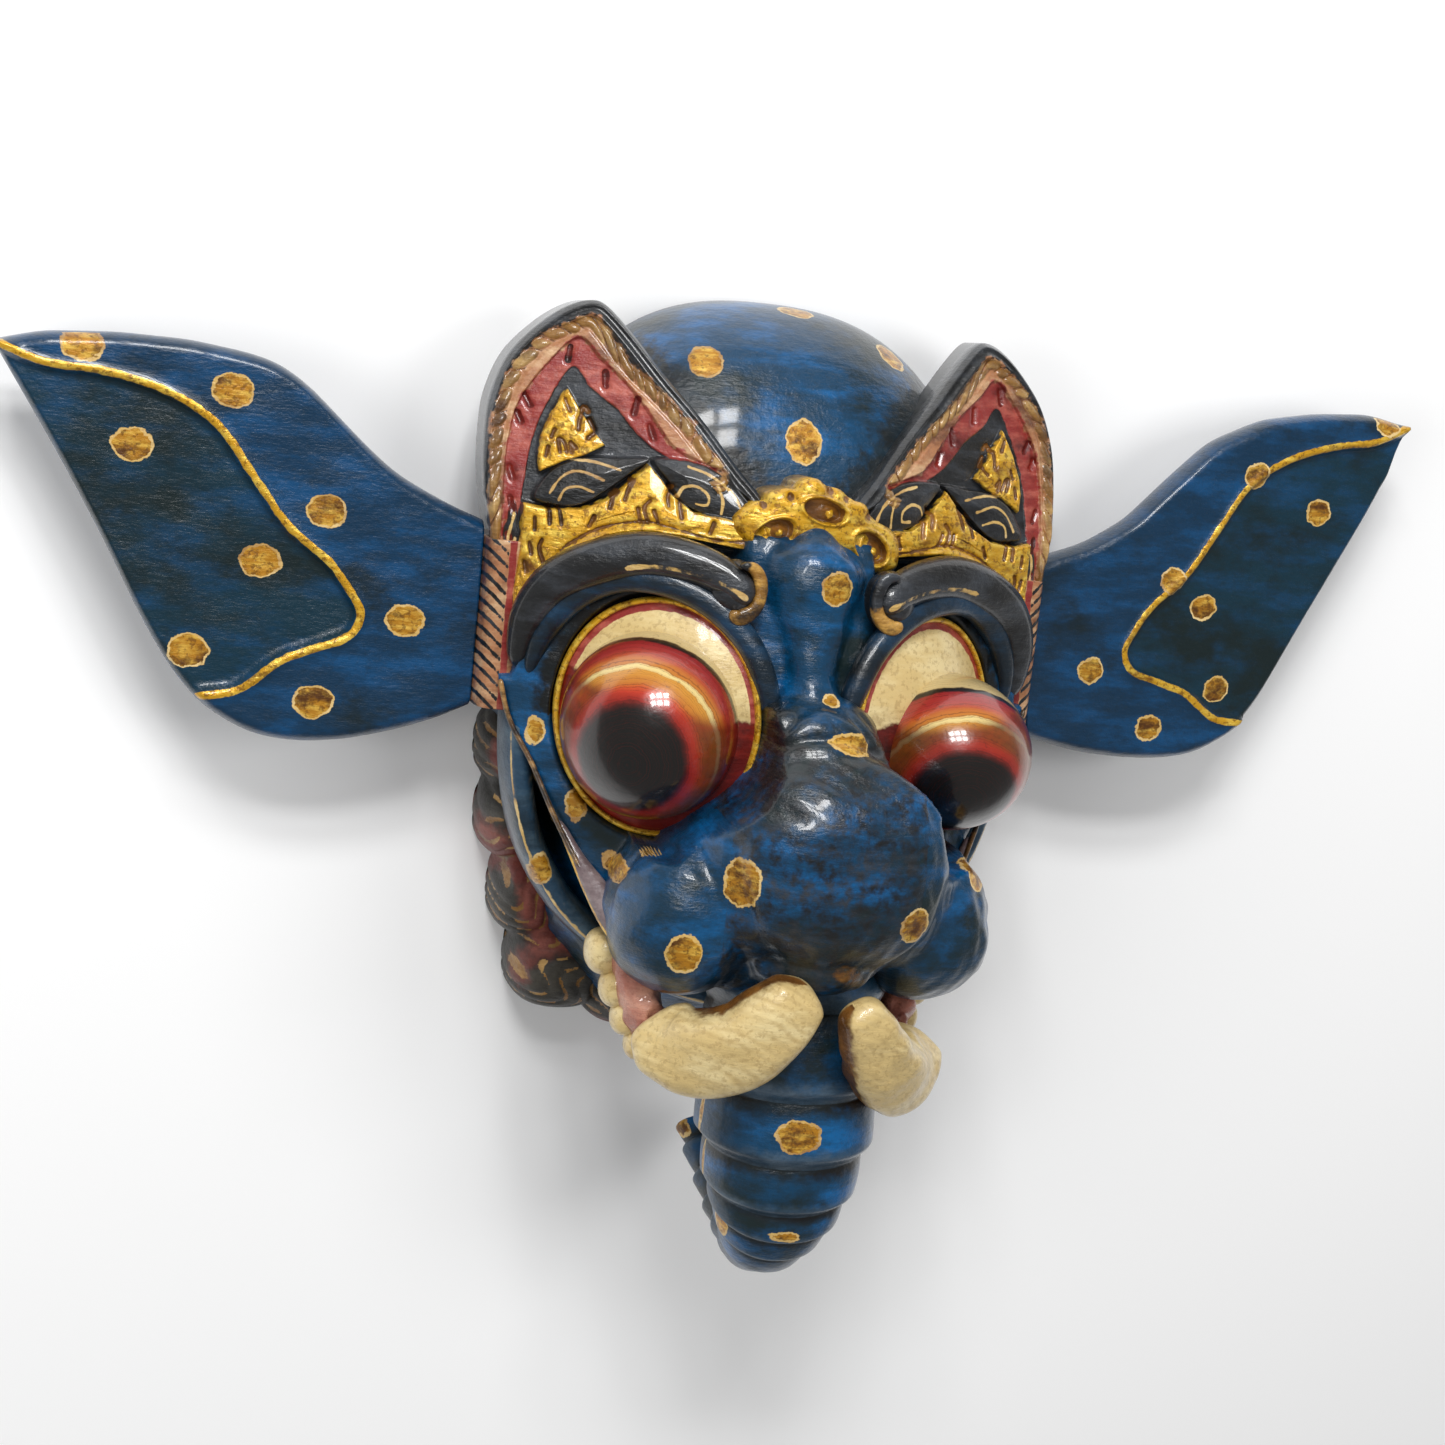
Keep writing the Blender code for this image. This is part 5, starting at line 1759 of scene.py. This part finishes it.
    def beard(self) -> List[bpy.types.Object]:
        """Scalloped lobes of hair, black and dull red, with wavy tan strokes.

        Returns:
            Both halves of the beard.
        """
        out = []
        for side in Side:
            grids = [blob((side.value * x, y, 2), (rx, ry, 27), 60, 40, 2.6)
                     for x, y, rx, ry in self.lobes]
            hair = fused(f"beard_{side.name.lower()}", grids, 1.0, 2)
            pts = carving_points(hair)
            centre = np.array([side.value * 20.0, -40.0])
            rel = pts[:, :2] - centre
            turn = np.degrees(np.arctan2(rel[:, 1], np.abs(rel[:, 0])))
            reach = np.linalg.norm(rel, axis=1)
            strand = turn * 0.9 + 2.4 * np.sin(reach * 0.35) + pts[:, 2] * 0.25
            groove = 0.5 + 0.5 * np.cos(strand * 2 * math.pi / self.strand)
            normals = point_normals(hair)
            pts = pts - normals * (0.7 * groove ** 3)[:, None]
            pts[:, 2] = np.maximum(pts[:, 2], 0.0)
            over = Head().hollow_height(pts)
            pts[:, 2] = np.where(over > 0, np.maximum(pts[:, 2], over + 2.0), pts[:, 2])
            move_points(hair, pts)
            near = np.abs((strand + self.strand / 2) % self.strand - self.strand / 2)
            broken = np.sin(reach * 0.8 + turn * 0.5)
            store(hair.data, {"strokes": np.where(broken > -0.6, 0.5 - near, -2.0),
                              "red": 5.0 * wobble(pts, 46.0, 4.0) - 1.0})
            layers = (Layer("red", BEARD_RED, 1.0, 1.5), Layer("strokes", LEAF, 0.35))
            out.append(dress(hair, Lacquer("beard_paint", BEARD, layers, bump=0.4, coat=0.15)))
        return out

    def build(self) -> List[bpy.types.Object]:
        """Everything of the mouth."""
        return self.jaw() + self.lips() + self.gums() + self.beard()


@dataclass
class Tusk:
    """One cream crescent tusk with brown in its creases and brown painted shade over its back."""

    side: Side
    thickness: float = 13.5
    around: int = 72
    left_way: Tuple[Tuple[float, ...], ...] = (
        (-43, -109, 104, 0.84), (-38, -114.5, 113, 0.98), (-30, -114.5, 121, 1.02),
        (-21, -109.5, 128, 1.0), (-13, -100, 132.6, 0.92), (-7, -92, 135, 0.74),
        (-4, -87, 136.2, 0.56))
    right_way: Tuple[Tuple[float, ...], ...] = (
        (47, -116, 98, 0.80), (42, -121.5, 108, 0.96), (35, -122, 118, 0.98),
        (27, -115, 127, 0.88), (19, -103, 134, 0.70), (13, -92, 138, 0.48))

    def build(self) -> List[bpy.types.Object]:
        """A superellipse profile carried along the crescent, blunt at both ends.

        Returns:
            The tusk.
        """
        stations = curve(self.left_way if self.side is Side.LEFT else self.right_way, 150)
        path, scale = stations[:, :3], stations[:, 3] * self.thickness
        grid = tube(path, scale, scale * 0.8, self.around, 3.0, ends=5.0)
        flat = grid.reshape(-1, 3)
        grid = (flat + 0.45 * wobble(flat, 16.0, 2.0)[:, None]).reshape(grid.shape)
        level = np.broadcast_to(ring_shape(self.around, 3.0)[0], grid.shape[:2]).ravel()
        share = np.repeat(np.linspace(0, 1, len(grid)), self.around)
        # Brown along one edge, and brown painted shade over the back, wider on the right tusk and
        # towards the inner end.
        behind = (framed(path)[:, None, 2] - grid[..., 2]).ravel()
        reach = 0.6 if self.side is Side.LEFT else 3.4
        reach = reach + 2.2 * smoothstep(share, 0.5, 1.0)
        crease = np.minimum((-level - 0.86) * 16.0, behind + reach)
        grain = np.cos(flat @ np.array([0.9, 1.7, -0.8]) + 1.5 * wobble(flat, 22.0, 5.0))
        tusk = surface(f"tusk_{self.side.name.lower()}", grid, (False, True),
                       {"crease": crease, "grain": 1.2 * grain - 0.9})
        layers = (Layer("grain", IVORY_DARK, 0.9, 1.6), Layer("crease", BROWN, 1.5, 1.6))
        return [dress(tusk, Lacquer("tusk_paint", CREAM, layers, bump=0.3))]


@dataclass
class Trunk:
    """The ringed trunk that hangs from the mouth and curls back to a blunt tip."""

    lean: float = 5.0
    step: float = 1.5
    half_width: float = 31.0
    around: int = 96
    lips: Tuple[float, ...] = (0.10, 0.206, 0.314, 0.403, 0.452, 0.502, 0.555, 0.61, 0.67, 0.735,
                               0.80, 0.87, 0.94)
    dots: Tuple[Dot, ...] = (Dot(4, -142.6, 121.6, 7.8, 5.6), Dot(-12.9, -180.4, 99.9, 4, 5, 4),
                             Dot(5.1, -179, 115.8, 5.4, 2.0), Dot(-9, -172, 32, 3, 4),
                             Dot(-22, -142, 98.2, 4, 9, 1.4), Dot(-19.5, -159, 96, 4, 8, 1.4))

    def build(self) -> List[bpy.types.Object]:
        """A boxy superellipse carried down the path, swelling at each ring.

        Returns:
            The trunk.
        """
        way = [(2.6, -80, 84), (2.6, -108, 91), (2.6, -134, 94), (2.4, -156, 96), (1.8, -174, 95),
               (0.9, -188, 88), (0.3, -194, 74), (0, -191, 58), (0, -182, 42), (0, -171, 27)]
        count = 361
        path = curve(way, count) + np.array([self.lean, 0.0, 0.0])
        half = along([29, 31, 31, 28, 22, 14.5, 10, 10, 12, 15], count)
        deep = along([28, 29, 28, 25, 20, 14, 10, 8, 8, 7], count)
        marks = np.array([0.0, *self.lips, 1.0])
        share = np.interp(np.linspace(0, 1, count), marks, np.arange(len(marks)))
        phase = share % 1.0
        span = np.interp(np.linspace(0, 1, count), marks[1:], np.diff(marks))
        swell = np.where(phase < 0.78, -1.0 + 2.0 * (phase / 0.78) ** 0.7,
                         1.0 - 2.0 * smoothstep(phase, 0.78, 1.0))
        step = self.step * np.clip(span / 0.1, 0.35, 1.0) * (swell - 0.5)
        across = (half + step) * self.half_width / 31.0
        grid = tube(path, across, deep + step, self.around, 2.15, upright=True, ends=3.0)
        middle = framed(path)[:, None]
        sag = 0.16 * np.clip(grid[..., 2] - middle[..., 2], 0, None)
        grid[..., 1] -= sag * smoothstep(middle[..., 2], 80.0, 92.0)
        flat = grid.reshape(-1, 3)
        rows = framed(phase)[:, None] * np.ones((1, self.around))
        # Painted shade darkens the fold between rings; a painted highlight runs along each ring's
        # lip.
        fields = {**dot_fields(flat, self.dots), "lip": (1.5 - 14.0 * np.abs(rows - 0.86)).ravel(),
                  "fold": (2.6 - 16.0 * np.minimum(rows, np.abs(1 - rows))).ravel()}
        trunk = surface("trunk", grid, (False, True), fields)
        layers = (Layer("fold", SHADE, 1.2, 2.2), Layer("lip", LIP_HIGHLIGHT, 0.8, 1.9))
        return [dress(trunk, Lacquer("trunk_paint", BLUE, layers + DOT_LAYERS))]


# Ears


@dataclass
class Ear:
    """A plugged-in ear board with a sunk panel behind a gold line."""

    side: Side
    node: str
    tilt: float
    length: float = 157.0
    thickness: float = 15.0
    root: Tuple[float, float, float] = (100.3, 11.0, 33.0)
    sweep: float = 6.0
    panel_depth: float = 2.5
    dots: Tuple[Tuple[float, float], ...] = ()
    dot_size: Tuple[float, float] = (6.8, 5.6)
    upper: Tuple[Tuple[float, float], ...] = (
        (0, 31), (26, 37), (43, 45), (60, 59), (77, 72), (98, 79), (120, 80.4), (143, 79.4),
        (157, 75))
    lower: Tuple[Tuple[float, float], ...] = (
        (0, -32), (10, -36), (24, -40.5), (40, -43.5), (53, -45), (64, -45), (73, -43.4), (87, -37),
        (97, -26.5), (108, -9.5), (121, 10.5), (136, 32), (150, 54), (157, 73))
    gold: Tuple[Tuple[float, float], ...] = (
        (92, -36), (88, -33), (76, -30), (64, -20), (53, -15), (42, -10), (39, -3), (42, 3),
        (50, 13), (64, 24), (76, 39), (89, 55), (106, 64), (125, 68), (142, 69), (156, 73.5))

    def world(self, u: Array, v: Array, w: Array) -> Array:
        """From the board's own length, height and thickness to the carving's frame.

        Args:
            u: Distance from the root.
            v: Height above the middle line.
            w: Distance in front of the middle of the board.

        Returns:
            The points.
        """
        a = math.radians(self.tilt)
        x = self.root[0] + u * math.cos(a) - v * math.sin(a)
        y = self.root[1] + u * math.sin(a) + v * math.cos(a)
        return np.stack([self.side.value * x, y, self.root[2] + w], axis=-1)

    def build(self) -> List[bpy.types.Object]:
        """Stations along the board; each is a ring of front, upper edge, back, lower edge.

        Returns:
            The ear.
        """
        stations = np.concatenate([np.linspace(0.0, self.length - 1.5, 230),
                                   [self.length - 0.5, self.length]])
        low = np.interp(stations, *np.array(self.lower, dtype=float).T)
        high = np.interp(stations, *np.array(self.upper, dtype=float).T)
        reach = 12
        kernel = np.hanning(2 * reach + 3)[1:-1]
        kernel /= kernel.sum()
        for edge in (low, high):
            edge[reach:-reach - 2] = np.convolve(edge, kernel, "valid")[:-2]
        high = np.maximum(high, low + 0.6)
        half = self.thickness / 2
        t = np.linspace(0, 1, 90)
        a = np.linspace(math.pi / 2, -math.pi / 2, 13)[1:-1]
        low, high = low[:, None], high[:, None]
        soft = np.minimum(4.2, (high - low) * 0.3)
        front_v = low + soft + (high - low - 2 * soft) * t
        upper_v = (high - soft) + soft * np.cos(a)
        upper_w = np.broadcast_to(half * np.sin(a), upper_v.shape)
        back_v = low + soft + (high - low - 2 * soft) * np.linspace(1, 0, 24)
        lower_v = (low + soft) - soft * np.cos(a)
        v = np.concatenate([front_v, upper_v, back_v, lower_v], axis=1)
        w = np.concatenate([np.full(front_v.shape, half), upper_w, np.full(back_v.shape, -half),
                            -upper_w], axis=1)
        u = np.broadcast_to(stations[:, None], v.shape)
        flat = np.stack([u.ravel(), v.ravel()], axis=1)
        gold = curve(self.gold, 160)
        panel = np.concatenate([gold, [(185, 60), (120, -60)]])
        gap = np.where(inside(flat, panel), 1.0, -1.0) * distance_to(flat, gold)
        facing = smoothstep(w.ravel(), 0.0, half)
        sunk = -self.panel_depth * smoothstep(gap, 0.4, 3.0)
        ridge = 0.9 * np.exp(-((gap + 0.6) / 1.4) ** 2)
        lump = 0.25 * wobble(np.stack([u, v, w], axis=-1), 30.0, 2.0).ravel()
        w = w + ((sunk + ridge) * facing + lump * facing).reshape(w.shape)
        w = w - self.sweep * (u / self.length) ** 1.5
        grid = capped(self.world(u, v, w))
        line = np.where(facing > 0.6, 1.25 - np.abs(gap + 0.4), -3.0)
        best = np.full(len(flat), NOWHERE)
        for du, dv in self.dots:
            off = np.hypot((flat[:, 0] - du) / self.dot_size[0],
                           (flat[:, 1] - dv) / self.dot_size[1])
            best = np.maximum(best, (1 - off) * min(self.dot_size))
        best = np.where(facing > 0.3, best, NOWHERE)
        fields = {"line": line, "dot": best, "dot_heart": best - 0.7,
                  "panel": np.where(facing > 0.5, gap, -3.0)}
        full = {name: framed(values.reshape(v.shape)) for name, values in fields.items()}
        ear = surface(self.node, grid, (False, True), full)
        ear.name = self.node + "_board"
        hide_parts(self.node)
        layers = (Layer("panel", EAR_DEEP, 0.3, 0.3), Layer("line", GOLD, 0.3))
        return [dress(ear, Lacquer("ear_lacquer", EAR_BLUE, layers + DOT_LAYERS))]


# Studio


@dataclass
class Studio:
    """Pale floor, soft lights and the camera at the photograph's angle."""

    focal_pixels: float = 2200.0
    frame_pixels: float = 1445.0
    sensor: float = 36.0
    eye: Tuple[float, float, float] = (-232.3, 98.4, 763.3)
    right: Tuple[float, float, float] = (0.95598, 0.10079, 0.27558)
    up: Tuple[float, float, float] = (-0.05209, 0.98253, -0.17865)
    back: Tuple[float, float, float] = (-0.28877, 0.15643, 0.94453)

    def camera(self) -> None:
        """A lens whose focal length in pixels was fitted to the photograph."""
        data = bpy.data.cameras.new("camera")
        data.sensor_width = self.sensor
        data.lens = self.sensor * self.focal_pixels / self.frame_pixels
        data.clip_start = 0.01
        camera = bpy.data.objects.new("camera", data)
        turn = Matrix((self.right, self.up, self.back)).transposed().to_4x4()
        turn.translation = Vector((np.array(self.eye) + SHIFT) * MM)
        camera.matrix_world = turn
        bpy.context.scene.collection.objects.link(camera)
        bpy.context.scene.camera = camera

    def light(self, name: str, place: Tuple[float, float, float], size: float, watts: float,
              mirrored_in_varnish: bool = False) -> None:
        """A square soft light that looks at the mask.

        Args:
            name: The lamp's name.
            place: Where it stands, in metres.
            size: Length of a side in metres.
            watts: Its power.
            mirrored_in_varnish: Whether the varnish shows its reflection.
        """
        data = bpy.data.lights.new(name, "AREA")
        data.shape = "SQUARE"
        data.size = size
        data.energy = watts
        lamp = bpy.data.objects.new(name, data)
        lamp.location = place
        lamp.visible_glossy = mirrored_in_varnish
        aim = Vector((0.0, 0.0, 0.05)) - lamp.location
        lamp.rotation_euler = aim.to_track_quat("-Z", "Y").to_euler()
        bpy.context.scene.collection.objects.link(lamp)

    def build(self) -> None:
        """Floor, world, lights and camera."""
        bpy.ops.mesh.primitive_plane_add(size=8.0, location=(0, 0, -0.0005))
        floor = bpy.context.object
        floor.name = "floor"
        material = bpy.data.materials.new("floor_paper")
        material.use_nodes = True
        shader = material.node_tree.nodes["Principled BSDF"]
        shader.inputs["Base Color"].default_value = (0.93, 0.93, 0.93, 1.0)
        shader.inputs["Roughness"].default_value = 0.9
        floor.data.materials.append(material)
        world = bpy.data.worlds.new("studio")
        bpy.context.scene.world = world
        world.use_nodes = True
        sky = world.node_tree.nodes["Background"]
        sky.inputs["Color"].default_value = (1.0, 1.0, 1.0, 1.0)
        sky.inputs["Strength"].default_value = 0.22
        bpy.context.scene.view_settings.view_transform = "Standard"
        for column in range(3):
            for row in range(2):
                place = (-0.43 + 0.2 * column, 0.87 + 0.15 * row, 1.02 - 0.15 * row)
                self.light(f"pane_{column}_{row}", place, 0.15, 2.2, mirrored_in_varnish=True)
        self.light("fill", (-0.9, -0.1, 0.9), 0.7, 5.0)
        self.light("front", (0.7, 0.2, 1.1), 0.5, 4.5)
        self.camera()


def main() -> None:
    """Build every part of the mask in order and report each piece."""
    logging.basicConfig(level=logging.INFO, format="%(message)s")
    left_dots = ((131, 76), (114, 46), (84, 66), (52, 30), (72, 12), (24, -4), (93, -19),
                 (52, -33))
    right_dots = ((148, 76), (92, 59), (120, 44), (58, 22), (72, 11), (25, -9), (78, -20),
                  (49, -32))
    left_upper = ((0, 31), (10, 34.5), (20, 39), (30, 44), (40, 52), (50, 61), (60, 70), (70, 76),
                  (80, 78.4), (98, 80.6), (120, 80.8), (143, 79), (157, 75))
    left_lower = ((0, -32), (10, -37), (24, -42), (40, -46), (53, -47.5), (64, -47), (73, -45),
                  (87, -37.5), (97, -27), (108, -10), (121, 14.5), (136, 40), (157, 73))
    parts = [Head(), Face(),
             Eye(Side.LEFT, (48.6, -16.6, 82.0), (29.0, 30.6, 33.5), (-0.457, -0.264, 0.849)),
             Eye(Side.RIGHT, (55.3, -20.0, 82.0), (28.5, 26.5, 33.5), (-0.10, -0.43, 0.90)),
             Brow(Side.LEFT), Brow(Side.RIGHT),
             CrownPlate(Side.LEFT), CrownPlate(Side.RIGHT), Crest(), Temple(Side.LEFT),
             Temple(Side.RIGHT), Mouth(), Tusk(Side.LEFT), Tusk(Side.RIGHT), Trunk(),
             Ear(Side.LEFT, "ear_left", 0.0, dots=left_dots, upper=left_upper, lower=left_lower),
             Ear(Side.RIGHT, "ear_right", 7.0, dots=right_dots, dot_size=(5.4, 5.0))]
    for part in parts:
        for piece in part.build():
            LOG.info("%s: %d faces", piece.name, len(piece.data.polygons))
    Studio().build()


if __name__ == "__main__":
    main()
